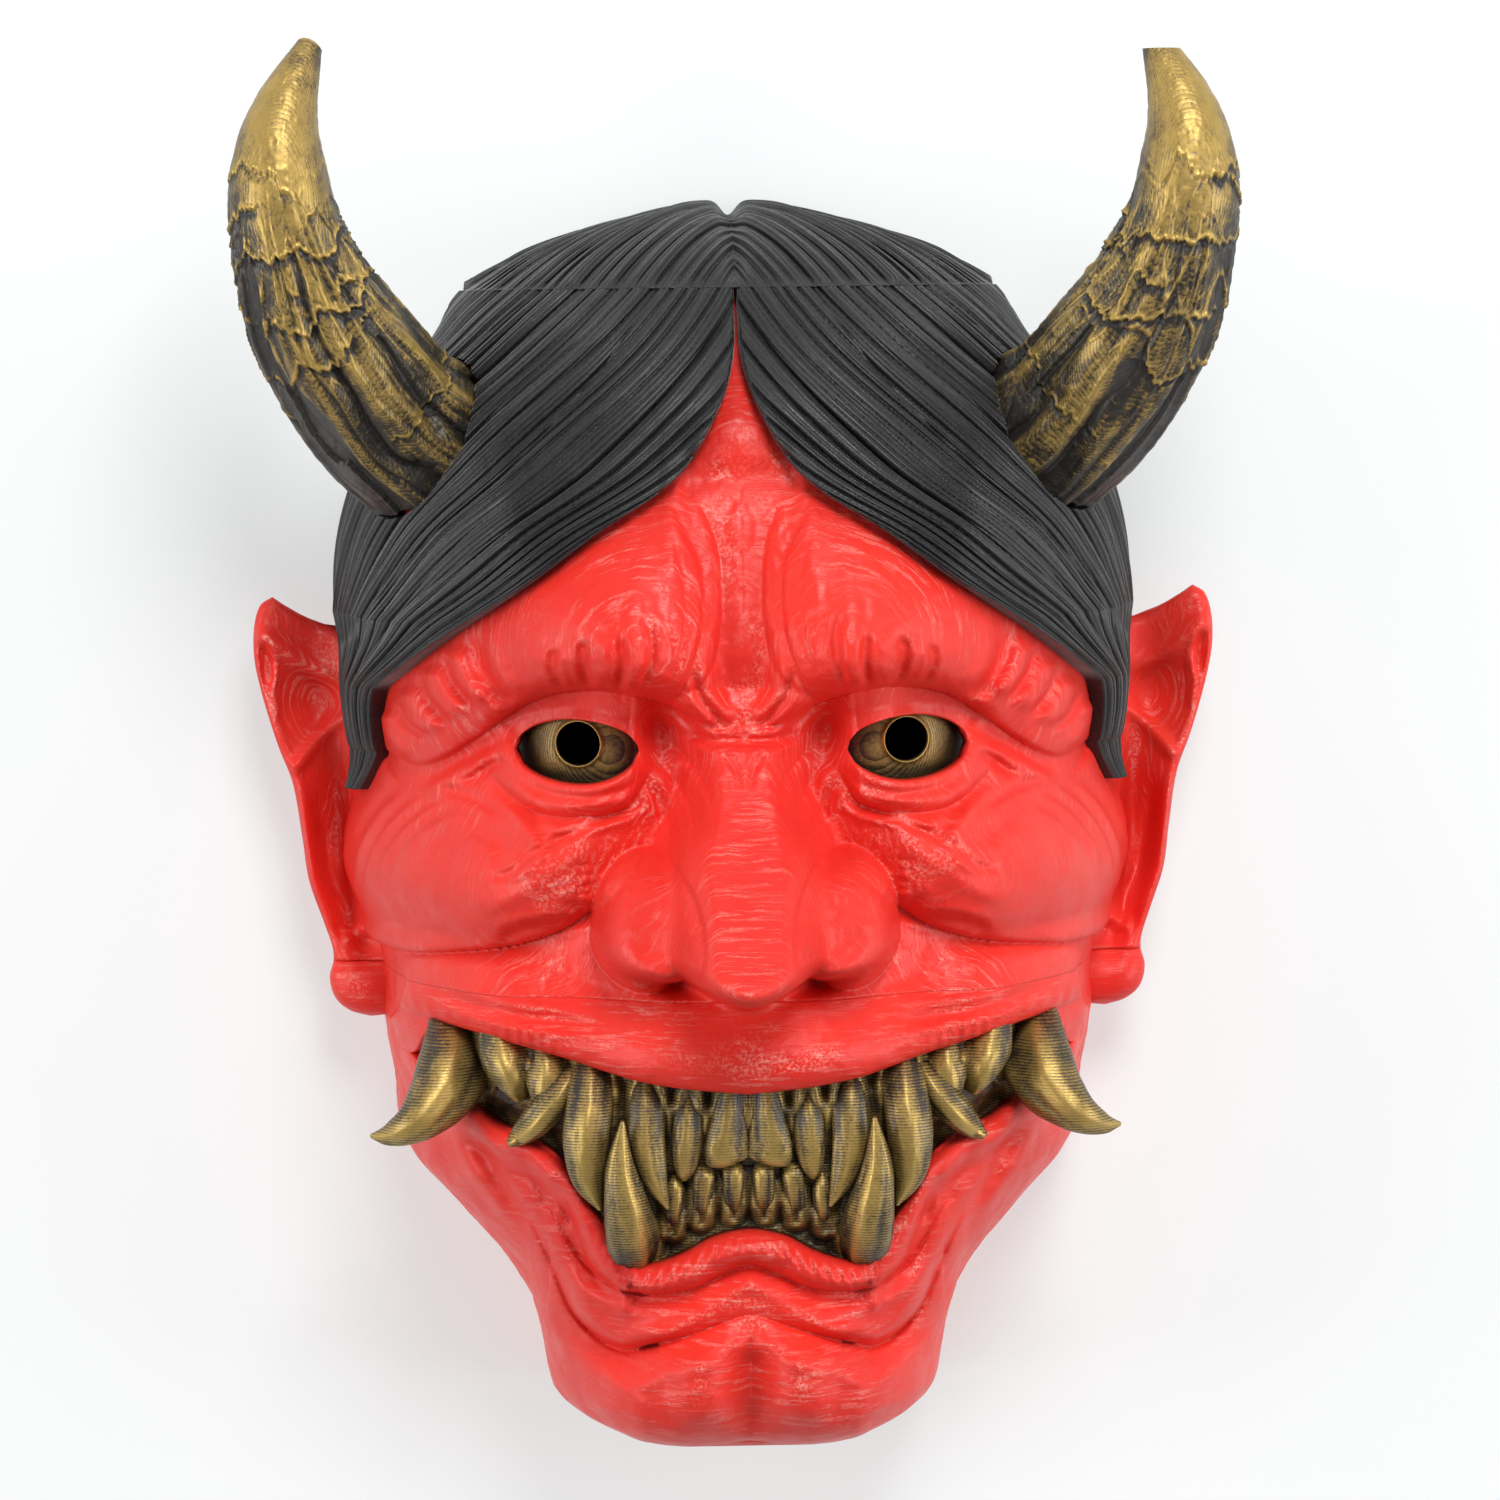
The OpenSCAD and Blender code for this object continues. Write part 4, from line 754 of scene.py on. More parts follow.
def strands(v, u, width):
    """Relief of combed hair: v runs across the strands, u along them, and width is the lock's width there."""
    v = v + 0.014 * noise(u * 0.8, v * 5.0, 41) + 0.006 * noise(u * 1.9, v * 13.0, 42)
    total = np.zeros(np.broadcast(v, u).shape)
    for number, height, power, seed in STRANDS:
        phase = v * number + 0.45 * noise(u * 0.6, v * number * 0.6, seed)
        cell = np.abs(2 * (phase - np.floor(phase)) - 1)
        lift = 0.35 + 0.65 * hashed(np.floor(phase), np.zeros_like(phase), seed + 1)
        back = np.sqrt(np.clip(1 - cell**power, 0, 1)) - 0.8
        total = total + height * back * lift * ramp(0.5, 2.2, width / number)
    return total


def lock(side):
    """A lock of hair from the parting down to the temple, with a socket for the horn."""
    z = mix(LOCK_TOP, LOCK_TIP, np.linspace(0, 1, 441))[:, None]
    v = np.linspace(0, 1, 481)[None]
    first, last = np.arcsin(curve(LOCK_IN, z)), np.arcsin(np.minimum(1, curve(LOCK_OUT, z)))
    s = np.sin(mix(first, last, v))
    plain = plain_relief(s, z)
    width = HEAD_ROUND * (last - first)
    swell = 0.5 + 0.5 * np.sin(np.pi * (v * 0.9 + 0.1) ** 0.8)
    body = HAIR_THICK * swell * mix(0.6, 1.0, ramp(-14, 14, z))
    body = body + (HAIR_THICK - body) * ramp(80, 91, z) + 1.6 * ramp(0.5, 1, v) * peak(z, 34, 18)
    edge = np.clip(np.minimum(v, 1 - v) * width / 1.4, 0, 1)
    combed = strands(v + curve(SWEEP, z), z / STRAND_RUN, width)
    out = body * rounded(edge) ** 0.35 + combed * edge
    # Inside the socket both sides of the wall sink into the red face, which shows there
    off_axis = np.cross(skin(s, z, 3.5, plain) - HORN_SOCKET, HORN_AXIS)
    in_socket = np.linalg.norm(off_axis, axis=-1) < SOCKET_RADIUS
    out, under = np.where(in_socket, -0.9, out), np.where(in_socket, -1.5, 0.35)
    outer, inner = skin(s, z, out, plain) * [side, 1, 1], skin(s, z, under, plain) * [side, 1, 1]
    if side < 0:
        outer, inner = outer[:, ::-1], inner[:, ::-1]
    return build_shell(outer, inner)


def hair_crown():
    """The cap of hair above the crown seam, with the parting in its middle."""
    s = np.linspace(-0.995, 0.995, 961)[None]
    u = np.linspace(1, 0, 241)[:, None]
    z = np.full_like(s, CROWN_Z)
    share = np.arcsin(np.abs(s)) / (math.pi / 2)
    grids = []
    for out, drop in ((HAIR_THICK, 0.0), (-WALL, 6.0)):
        base = skin(s, z, out, plain_relief(s, z))
        h = (CROWN_HEIGHT - drop) * curve(CROWN_RISE, np.abs(s))
        rise = 1 - (1 - u) ** 3.6
        point = np.stack(np.broadcast_arrays(base[..., 0], base[..., 1] * (1 - u), CROWN_Z + h * rise), -1)
        if drop == 0:
            lean = SWEEP[-1][1] + 0.55 * u
            combed = strands(share + lean, u * 2.0 + CROWN_Z / STRAND_RUN, HEAD_ROUND * math.pi / 2)
            part = -2.6 * np.exp(-((s * 24) ** 2)) * ramp(0, 0.1, u)
            lift = (combed + part) * ramp(-0.02, 0.05, u)
            slope = ramp(0.0, 0.75, u)
            point[..., 1] -= lift * (1 - slope)
            point[..., 2] += 1.2 * lift * slope - 0.5 * slope
        grids.append(point)
    return build_shell(*grids)


# ---------------------------------------------------------------- horns

# The middle of the horn from its root, as (x, y, z, radius)
HORN_PATH = [
    (0, 0, 0, 18.6), (7.8, -5, 6.2, 17.4), (14.8, -12, 15.7, 16.6), (22.2, -20, 28.4, 14.6),
    (26.8, -26, 43.7, 11.5), (27.7, -28, 56.7, 9.3), (26.2, -27, 67.2, 6.6), (21.4, -24, 80, 2.6),
]
HORN_TIP = HORN_ROOT[2] + HORN_PATH[-1][2] + 1.4
HORN_CUT = 3.8  # how far below the left horn's tip the right horn is cut flat
HORN_ROWS, HORN_AROUND = 520, 320
# Grooves up a horn: how many, how deep and the seed of their weights
HORN_GROOVES = [(8, 1.9, 3), (19, 0.9, 7), (43, 0.3, 11)]
# Cracks across a horn: distance from the root, height, how far it wanders and the angle of its deepest part
HORN_CRACKS = [
    (14, 0.5, 6.0, 0.6), (24, 0.6, 6.5, 5.2), (34, 0.7, 6.0, 3.4), (41, 0.8, 5.5, 1.4), (46, 0.8, 5.5, 4.6),
    (50.5, 0.8, 5, 0.2), (55, 0.8, 4.5, 2.6), (59.5, 0.9, 4, 5.4), (64, 0.8, 4.5, 4.4), (69, 0.5, 4.5, 3.2),
]


def horn_grooves(a, r, wobble, side):
    """Grooves that run up the horn at angles a and distances r, and fade towards its tip."""
    grooves = 0.0
    for count, deep, seed in HORN_GROOVES:
        phase = (a + 0.16 * wobble) * count / (2 * math.pi)
        cell = phase - np.floor(phase)
        valley = np.exp(-((np.minimum(cell, 1 - cell) * 4.6) ** 2))
        weight = hashed(np.floor(phase) % count + 0 * r, np.floor(r / 34 + 0 * a), seed + side)
        grooves = grooves - deep * valley * (0.25 + 0.75 * weight)
    return grooves


def horn_plates(a, r, x, y, side):
    """Relief of the cracked plates across the horn, and how much gold their rims take."""
    plates, rims = 0.0, 0.0
    for number, (start, height, wander, strongest) in enumerate(HORN_CRACKS):
        seed = 30 + 7 * number + side
        bend = noise(x * 0.9, y * 0.9, seed) + 0.24 * noise(x * 3.1, y * 3.1, seed + 1)
        past = r - start - wander * (bend + 0.15 * noise(x * 9, y * 9, seed + 2))
        facing = np.cos(a - strongest) + 0.9 * noise(x * 2.6, y * 2.6, seed + 3)
        near = height * (0.15 + 0.85 * ramp(-0.5, 0.6, facing))
        plates += near * 0.22 * ramp(-0.2, 0.5, past) * np.exp(-np.clip(past, 0, None) / 6.0)
        plates += near * (0.55 * peak(past, 0, 0.4) - 0.4 * peak(past, -0.9, 0.6))
        rims += near * (peak(past, 0.1, 0.6) - 0.9 * peak(past, -1.1, 0.8))
    net = noise(x * 2.4 + r / 17, y * 2.4 - r / 21, 90 + side)
    vein = peak(net, 0, 0.07) * ramp(24, 36, r) * (1 - ramp(56, 66, r))
    return plates + 0.32 * vein, rims + 0.7 * vein


def horn(side):
    """A horn with grooves and cracked plates. The left one has a rounded tip, the right one is cut flat."""
    middle = between(HORN_PATH, np.linspace(0, len(HORN_PATH) - 1, HORN_ROWS))
    path, radius = middle[:, :3], middle[:, 3:]
    along = unit(np.gradient(path, axis=0))
    across = unit(np.cross(along, [1.0, 1.0, 0.0]))
    up = np.cross(along, across)
    a = np.linspace(0, 2 * math.pi, HORN_AROUND, endpoint=False)[None]
    r = np.concatenate([[0], np.cumsum(np.linalg.norm(np.diff(path, axis=0), axis=1))])[:, None]
    radial = across[:, None] * np.cos(a)[..., None] + up[:, None] * np.sin(a)[..., None]
    front, outward = -radial[..., 1], radial[..., 0] * 0.8 - radial[..., 2] * 0.6
    x, y = np.cos(a) * 2.2 + 9, np.sin(a) * 2.2 + 9
    wobble = noise(x + r / 26, y - r / 31, 60 + side) + 0.5 * noise(2 * x - r / 11, 2 * y + r / 13, 61 + side)
    fade = 1 - ramp(48, 70, r)
    grooves = horn_grooves(a, r, wobble, side) * fade
    plates, rims = horn_plates(a, r, x, y, side)
    size = radius * (1 + 0.012 * wobble * fade) + grooves + plates + 0.08 * noise(r * 0.9, a * 9, 70)
    streak = noise(a * 22, r / 14, 80 + side) + 0.6 * noise(a * 55, r / 8, 84 + side)
    patch = noise(x * 1.1 + r / 15, y * 1.1, 95 + side) + 0.5 * noise(x * 2.7, y * 2.7 + r / 9, 96 + side)
    # Painted light: the gold is raised on the side facing forward as a painted highlight, and lowered on the
    # horn's flanks higher up as painted shade
    facing = ramp(-0.3, 0.9, 0.9 * front - 0.45 * outward)
    gilt_and_painted_light = mix(0.08 + 0.42 * facing, 0.76, ramp(48, 70, r)) - 0.22 * (1 - ramp(2, 12, r))
    gilt_and_painted_light = gilt_and_painted_light + 0.30 * grooves + 0.85 * rims + (0.20 * streak + 0.08 * patch) * (0.55 + 0.45 * fade)
    gilt_and_painted_light = gilt_and_painted_light - 0.55 * ramp(0.25, 0.95, np.abs(outward)) * ramp(44, 64, r) - 0.45 * ramp(84, 99, r)
    points = np.array(HORN_ROOT) + path[:, None] + radial * size[..., None]
    if side > 0:
        points[..., 2] = np.minimum(points[..., 2], HORN_TIP - HORN_CUT)
    rings, coats = list(points), list(gilt_and_painted_light)
    end, centre = points[-1], points[-1].mean(0)
    for share, lift in ((0.85, 0.5), (0.6, 0.95), (0.3, 1.2)):
        ring = centre + (end - centre) * share
        if side < 0:
            ring[:, 2] += lift
        rings.append(ring)
        coats.append(np.full(HORN_AROUND, 0.7))
    return sweep(rings, side, coats)


# ---------------------------------------------------------------- teeth and eyes

# Each tooth of the right half: its path as (x, z, how far in front), its half width and half depth along it
UPPER_TEETH = [
    ([(3.2, -67, -2.5), (3.7, -73, 1.6), (4.4, -79, 3.4), (4.5, -82, 3.6), (4.5, -83.2, 2.8)],
     [(2.2, 1.6), (3.4, 2.2), (4.4, 2.4), (4.4, 2), (3.6, 1)]),
    ([(11.6, -68, -2.5), (12, -74, 1.6), (12.4, -80, 3.4), (12.8, -84.6, 3.6), (12.9, -86.8, 3.2)],
     [(1.5, 1.5), (2.9, 2.4), (3, 2.4), (2, 1.6), (0.6, 0.6)]),
    ([(20, -66, -2.5), (20.2, -72, 1.6), (20.2, -79, 4.6), (18.7, -86.6, 5.6), (16.3, -92.6, 4.8)],
     [(2.2, 2), (3.6, 3), (3.5, 3), (2.4, 2.2), (0.35, 0.35)]),
    ([(31, -63, -2.5), (31.2, -70, 3), (32.2, -78, 6.8), (32.2, -86, 8), (29.8, -93, 7)],
     [(3.4, 3), (4.6, 4), (4.6, 4.2), (3.3, 3), (0.4, 0.4)]),
    ([(34.5, -64.5, -1.5), (37.6, -69.6, 3.5), (41.6, -74.6, 6.6), (45.6, -78.6, 7.4), (48, -80.2, 7)],
     [(2.4, 2.4), (3.4, 3.2), (3.3, 3), (2.2, 2.1), (0.8, 0.8)]),
    ([(40, -59.5, -4), (39.8, -64, 0.2), (40.4, -68.5, 2.6), (41.6, -72.6, 2.2)],
     [(4.2, 3), (5, 3.9), (4, 3.4), (1.4, 1.4)]),
    ([(49, -56.8, -4.5), (48.4, -61.6, 0.4), (47.2, -66, 3), (45.6, -71.2, 2.4)],
     [(5, 3.4), (5.6, 4.2), (4.4, 4), (1.6, 1.6)]),
    ([(57.6, -58, -7), (58.4, -62, -0.5), (59.6, -66.4, 7), (62.2, -71.2, 12.4), (66.8, -75.8, 15.5),
      (72, -78.7, 15), (76, -79.3, 13.5)],
     [(6.6, 3.6), (7.6, 4.6), (7.7, 5.8), (6.6, 5.8), (4.4, 4.2), (2.4, 2.3), (0.45, 0.45)]),
]
LOWER_TEETH = [
    ([(3.1, -95, -1.6), (3.1, -91, 1.8), (3, -86.5, 2.6), (3, -84.6, 2), (3, -83.6, 1)],
     [(1.2, 1.2), (1.9, 1.7), (2.2, 1.8), (2, 1.3), (1.2, 0.6)]),
    ([(9.5, -96, -1.6), (9.4, -91.6, 1.8), (9, -87, 2.6), (8.8, -85.2, 2), (8.8, -84.2, 1)],
     [(1.2, 1.2), (1.9, 1.7), (2.2, 1.8), (2, 1.3), (1.2, 0.6)]),
    ([(15.3, -98, -1.6), (15.1, -93.4, 2), (14.8, -89, 2.6), (14.6, -86, 1.8)],
     [(1.2, 1.2), (1.9, 1.7), (1.9, 1.6), (0.7, 0.6)]),
    ([(23.4, -105, -2), (23.6, -99.5, 5), (24.6, -92.5, 9), (25.8, -83.5, 10), (25.1, -73.8, 8.6)],
     [(4.4, 3.6), (5.4, 4.6), (4.6, 4.2), (2.9, 2.8), (0.4, 0.4)]),
]
TUSK_X = 58.0


def gum_depth(x, z):
    """Where the front of the gum lies behind the lips, beyond TUSK_X as at TUSK_X."""
    s = np.minimum(TUSK_X, np.abs(x)) / half_width(z)
    return skin(s, z, -WALL, plain_relief(s, z))[..., 1]


def tooth(points, sizes, seed):
    """Rings of one tooth with a ridge down its front, and how much gold each point keeps, more on its front
    as a painted highlight.
    """
    points = np.array(points, float)
    depths = gum_depth(points[:, 0], points[:, 1]) - points[:, 2]
    t = (1 - (1 - np.linspace(0, 1, 72)) ** 1.35) * (len(points) - 1)
    path = between(np.stack([points[:, 0], depths, points[:, 1]], 1), t)
    size = between(sizes, t)
    along = unit(np.gradient(path, axis=0))
    across = unit(np.cross(along, [0.15, 1.0, 0.1]))
    out = np.cross(along, across)
    out *= np.where(out[:, 1:2] > 0, -1, 1)
    a = np.linspace(0, 2 * math.pi, 64, endpoint=False)
    off_front = a - math.pi / 2
    ridge = peak(off_front, -0.25, 0.22)
    flute = peak(off_front, 0.55, 0.25) + 0.7 * peak(off_front, -0.95, 0.22)
    rings, coats = [], []
    for k in range(len(t)):
        u = k / (len(t) - 1)
        rough = noise(a * 3 + seed, u * 7.0, int(seed)) + 0.6 * noise(a * 9, u * 16.0, int(seed) + 4)
        wave = 1 + 0.05 * np.cos(3 * a + seed) + (0.11 * ridge - 0.10 * flute) * (1 - 0.8 * u) + 0.03 * rough
        x, y = np.cos(a) * size[k, 0] * wave, np.sin(a) * size[k, 1] * wave
        rings.append(path[k] + across[k] * x[:, None] + out[k] * y[:, None])
        # Painted highlight: more gold on the side of the tooth that faces forward, growing from its root
        front = np.clip(np.sin(a), 0, 1)
        coat = 0.16 + 0.46 * front * ramp(0.02, 0.5, u) + 0.24 * ridge - 0.26 * flute
        coats.append(coat + 0.12 * rough + 0.16 * ramp(0.5, 1, u))
    return rings, coats


def teeth_of(table, seed):
    """The teeth of a table in both halves of the mouth."""
    made = []
    for number, (points, sizes) in enumerate(table):
        for side in SIDES:
            rings, coats = tooth(points, sizes, seed + number + (0.37 if side > 0 else 0))
            made.append(sweep(rings, side, coats))
    return made


def gum(top, low, reach, table):
    """The gum on the inside of the face, further forward in the open mouth and swollen round each tooth."""
    z = mix(top, low, np.linspace(0, 1, 129))[:, None]
    s = np.linspace(-reach, reach, 561)[None]
    x = half_width(z) * s
    open_mouth = ramp(1, 5, -above(UPPER_LIP, np.abs(x), z)) * ramp(1, 5, above(LOWER_LIP, np.abs(x), z))
    molars = bell(np.abs(x), z, 46, -66, 10, 8)
    seat = skin(s, z, -WALL, plain_relief(s, z))
    y = seat[..., 1] + 0.3 - (1.4 + 2.2 * molars) * open_mouth * (1 - ramp(52, 60, np.abs(x)))
    swell = (0.6 + 0.8 * molars) * fractal(x * 0.25, z * 0.25, 77, 3)
    for points, sizes in table:
        dist, share = along_line(np.abs(x), z + 0 * x, [(p[0], p[1]) for p in points])
        wide = curve(np.stack([np.linspace(0, 1, len(sizes)), [w[0] for w in sizes]], 1), share)
        off = np.abs(dist) - wide
        rooted = 1 - ramp(0.25, 0.6, share)
        swell = swell + (1.6 * peak(off, 0, 1.3) - 0.7 * peak(off, 1.8, 0.8)) * rooted
    swell = swell * (1 - ramp(54, 62, np.abs(x)))
    outer = np.stack(np.broadcast_arrays(seat[..., 0], y - swell, z), -1)
    inner = np.stack(np.broadcast_arrays(seat[..., 0] * 0.97, y + 4.0, z), -1)
    return build_shell(outer, inner, coat=0.17 + 0.15 * swell + 0.12 * fractal(x * 0.4, z * 0.4, 78, 2))


EYE_SEAT = (33.0, -77.2, EYE_LEVEL)
EYE_TILT = math.radians(21)
EYE_BALL, EYE_OUT = 19.0, 0.8  # radius of the dome, and how far it bulges out of its seat
EYE_RADIUS, EYE_RIM, EYE_WALL = 16.6, 3.0, 3.2
PUPIL_Z, PUPIL_RADIUS = 0.4, 4.4
# The ring round the sight hole: distance from the hole's edge and height
PUPIL_RING = [(0.0, 0.0), (0.02, 0.25), (0.06, 0.42), (0.16, 0.45), (0.28, 0.42), (0.40, 0.28), (0.52, 0.05)]


def eye(side):
    """A domed disc with its sight hole bored straight along y, and a thin raised ring round the hole."""
    across = np.array([math.cos(EYE_TILT), math.sin(EYE_TILT), 0])
    out = np.array([math.sin(EYE_TILT), -math.cos(EYE_TILT), 0])
    phi = np.linspace(0, 2 * math.pi, 161)[:-1]
    centre = EYE_SEAT + (EYE_OUT - EYE_BALL) * out
    round_it = np.cos(phi)[:, None] * across + np.sin(phi)[:, None] * [0, 0, 1]

    def surface(rho):
        flat = EYE_SEAT + rho[:, None] * round_it - centre
        plane = flat - (flat @ out)[:, None] * out
        return centre + plane + np.sqrt(np.clip(EYE_BALL**2 - (plane**2).sum(1), 0, None))[:, None] * out

    rho = np.full(phi.shape, PUPIL_RADIUS)
    for _ in range(12):
        place = surface(rho)
        off_hole = np.hypot(place[:, 0] - EYE_X, place[:, 2] - PUPIL_Z)
        rho = rho * (PUPIL_RADIUS / np.maximum(off_hole, 0.5)) ** 0.8
    back = surface(rho)
    back[:, 1] += EYE_WALL
    rings, coats = [back], [np.zeros(len(phi))]
    for off, lift in PUPIL_RING:
        rings.append(surface(rho + off) + lift * out)
        coats.append(np.full(len(phi), 1.15 if lift > 0.2 else 0.35))
    for v in np.linspace(0.06, 1, 30):
        place = surface(mix(rho + PUPIL_RING[-1][0], EYE_RADIUS, v))
        rings.append(place)
        off_x = np.abs(place[:, 0] - EYE_X)
        coats.append(0.42 - 0.36 * ramp(4.8, 11.5, off_x) - 0.25 * ramp(3.8, 6.3, np.abs(place[:, 2])))
    rings.append(rings[-1] - EYE_RIM * out)
    inner = surface(rho + 2.5) - EYE_WALL * out
    inner[:, 1] = np.maximum(inner[:, 1], back[:, 1] + 0.05)
    rings.append(inner)
    coats += [np.zeros(len(phi))] * 2
    faces = ring_faces(len(phi), [(k, (k + 1) % len(rings)) for k in range(len(rings))])
    if side < 0:
        faces = [face[::-1] for face in faces]
    return np.concatenate(rings) * [side, 1, 1], faces, np.concatenate(coats)


# ---------------------------------------------------------------- materials


def plug(tree, node, inputs):
    """Gives a node its inputs: a socket is linked, and anything else becomes the input's value."""
    for key, value in inputs.items():
        if isinstance(value, bpy.types.NodeSocket):
            tree.links.new(value, node.inputs[key])
        else:
            node.inputs[key].default_value = value


def add(tree, kind, inputs=None, **settings):
    """Adds a shader node with its fields and its inputs."""
    made = tree.nodes.new("ShaderNode" + kind)
    for key, value in settings.items():
        setattr(made, key, value)
    plug(tree, made, inputs or {})
    return made


def calc(tree, operation, *values, clamp=False):
    return add(tree, "Math", dict(enumerate(values)), operation=operation, use_clamp=clamp).outputs[0]


def times(tree, first, *others):
    for other in others:
        first = calc(tree, "MULTIPLY", first, other)
    return first


def plus(tree, first, *others):
    for other in others:
        first = calc(tree, "ADD", first, other)
    return first


def swing(tree, value, middle, amount):
    """How far a value is from its middle, times an amount."""
    return times(tree, calc(tree, "SUBTRACT", value, middle), amount)


def smooth(tree, value, low, high, to_low=0.0, to_high=1.0):
    inputs = {"Value": value, "From Min": low, "From Max": high, "To Min": to_low, "To Max": to_high}
    return add(tree, "MapRange", inputs, interpolation_type="SMOOTHSTEP").outputs[0]


def blend(tree, factor, a, b):
    return add(tree, "Mix", {0: factor, 6: a, 7: b}, data_type="RGBA").outputs[2]


def speckle(tree, coords, scale, detail=3.0, rough=0.55):
    inputs = {"Vector": coords, "Scale": scale, "Detail": detail, "Roughness": rough}
    return add(tree, "TexNoise", inputs).outputs[0]


def print_lines(tree, coords, axis, period, warp):
    """Height of the printed layers along an axis, as a soft saw with its period and warp in millimetres."""
    place = add(tree, "SeparateXYZ", {0: coords}).outputs[axis]
    wander = swing(tree, speckle(tree, coords, 260.0), 0.5, warp * MM)
    layer = calc(tree, "FRACT", calc(tree, "DIVIDE", plus(tree, place, wander), period * MM))
    return calc(tree, "SUBTRACT", 1.0, calc(tree, "POWER", layer, 2.0))


def new_material(name):
    material = bpy.data.materials.new(name)
    material.use_nodes = True
    tree = material.node_tree
    return material, tree, tree.nodes["Principled BSDF"], add(tree, "TexCoord").outputs["Object"]


def coat_shader(tree, shader, tint, roughness, height, strength=0.6, distance=0.12, more=None):
    """Wires a colour, a roughness, a relief (its distance in millimetres) and more inputs to the shader."""
    bump = add(tree, "Bump", {"Height": height, "Strength": strength, "Distance": distance * MM})
    plug(tree, shader, {"Base Color": tint, "Roughness": roughness, "Normal": bump.outputs[0]})
    plug(tree, shader, more or {})


def red_material(name, axis):
    """Satin red filament with layers along an axis, and a pale pink painted highlight in speckles and layer
    bands where the face looks forward.
    """
    material, tree, shader, coords = new_material(name)
    normal = add(tree, "SeparateXYZ", {0: add(tree, "NewGeometry").outputs["Normal"]}).outputs[1]
    facing = calc(tree, "ABSOLUTE", normal)
    broad = smooth(tree, speckle(tree, coords, 45.0, 4.0), 0.42, 0.60)
    grain = smooth(tree, speckle(tree, coords, 1400.0, 3.0, 0.7), 0.48, 0.58)
    lines = print_lines(tree, coords, axis, 0.32, 0.5)
    stretch = [0.07, 0.07, 0.07]
    stretch[axis] = 1.0 if axis == 1 else 0.7
    layered = add(tree, "Mapping", {"Vector": coords, "Scale": stretch}).outputs[0]
    strata = smooth(tree, speckle(tree, layered, 1500.0, 3.0, 0.65), 0.52, 0.62)
    # Painted highlight: pale speckles where the face looks straight forward, and pale bands along the layers
    # on slopes that half face forward
    highlight_spots = times(tree, grain, broad, smooth(tree, facing, 0.86, 0.99), 0.62)
    highlight_bands = times(tree, strata, smooth(tree, facing, 0.30, 0.80), smooth(tree, broad, 0.0, 1.0, 0.25, 1.0))
    highlight_bands = times(tree, highlight_bands, smooth(tree, grain, 0.0, 1.0, 0.5, 1.0), 0.50)
    painted_highlight = calc(tree, "ADD", highlight_spots, highlight_bands, clamp=True)
    patches = smooth(tree, speckle(tree, coords, 30.0), 0.3, 0.7)
    body = blend(tree, patches, (0.80, 0.026, 0.018, 1), (0.86, 0.036, 0.022, 1))
    # The pale pink mixed in here is a painted highlight
    tint = blend(tree, painted_highlight, body, (0.96, 0.30, 0.25, 1))
    roughness = smooth(tree, speckle(tree, coords, 140.0), 0.3, 0.7, 0.34, 0.48)
    pits = times(tree, speckle(tree, coords, 900.0), 0.5)
    height = plus(tree, times(tree, lines, 0.6), pits, times(tree, strata, 0.9))
    glow = {"Subsurface Weight": 0.05, "Subsurface Radius": (1.0, 0.2, 0.15), "Subsurface Scale": 0.0015}
    coat_shader(tree, shader, tint, roughness, height, more={"Specular IOR Level": 0.32, **glow})
    return material


def black_material():
    """Matte black filament with fine layers that catch the light."""
    material, tree, shader, coords = new_material("black_print_look")
    grain = speckle(tree, coords, 1500.0, 3.0, 0.7)
    lines = print_lines(tree, coords, 1, 0.30, 0.4)
    tint = blend(tree, smooth(tree, grain, 0.45, 0.75), (0.006, 0.006, 0.007, 1), (0.026, 0.025, 0.026, 1))
    roughness = smooth(tree, speckle(tree, coords, 200.0), 0.3, 0.7, 0.34, 0.50)
    height = plus(tree, times(tree, lines, 0.6), times(tree, grain, 0.7))
    coat_shader(tree, shader, tint, roughness, height, more={"Sheen Weight": 0.30, "Sheen Roughness": 0.25})
    return material


def gold_material(name, axis, patchiness=0.9, grit=1.0, layer=0.42, striping=0.3):
    """Black filament dry-brushed with gold, which stays on what stands out: a mesh attribute says how much,
    and on horns and teeth it also holds painted light, more gold on sides facing forward and less on a horn's
    flanks.

    Patchiness, grit and striping say how much broad patches, fine grain and the printed layers (each of the
    layer's height in millimetres) break up the gold."""
    material, tree, shader, coords = new_material(name)
    gilt_and_painted_light = add(tree, "Attribute", attribute_name="gilt_and_painted_light").outputs["Fac"]
    grain = speckle(tree, coords, 1700.0, 3.0, 0.7)
    lines = print_lines(tree, coords, axis, layer, 0.25)
    patchy = swing(tree, speckle(tree, coords, 240.0, 4.0), 0.5, patchiness)
    level = plus(tree, gilt_and_painted_light, patchy, swing(tree, grain, 0.5, grit), swing(tree, lines, 0.6, striping))
    paint = smooth(tree, level, 0.05, 0.95)
    gold = blend(tree, paint, (0.13, 0.085, 0.028, 1), (0.46, 0.31, 0.085, 1))
    tint = blend(tree, smooth(tree, level, 0.0, 0.55), (0.016, 0.013, 0.010, 1), gold)
    roughness = smooth(tree, grain, 0.3, 0.7, 0.34, 0.52)
    height = plus(tree, times(tree, lines, 0.8), times(tree, grain, 0.6))
    coat_shader(tree, shader, tint, roughness, height, more={"Metallic": times(tree, paint, 0.65)})
    return material


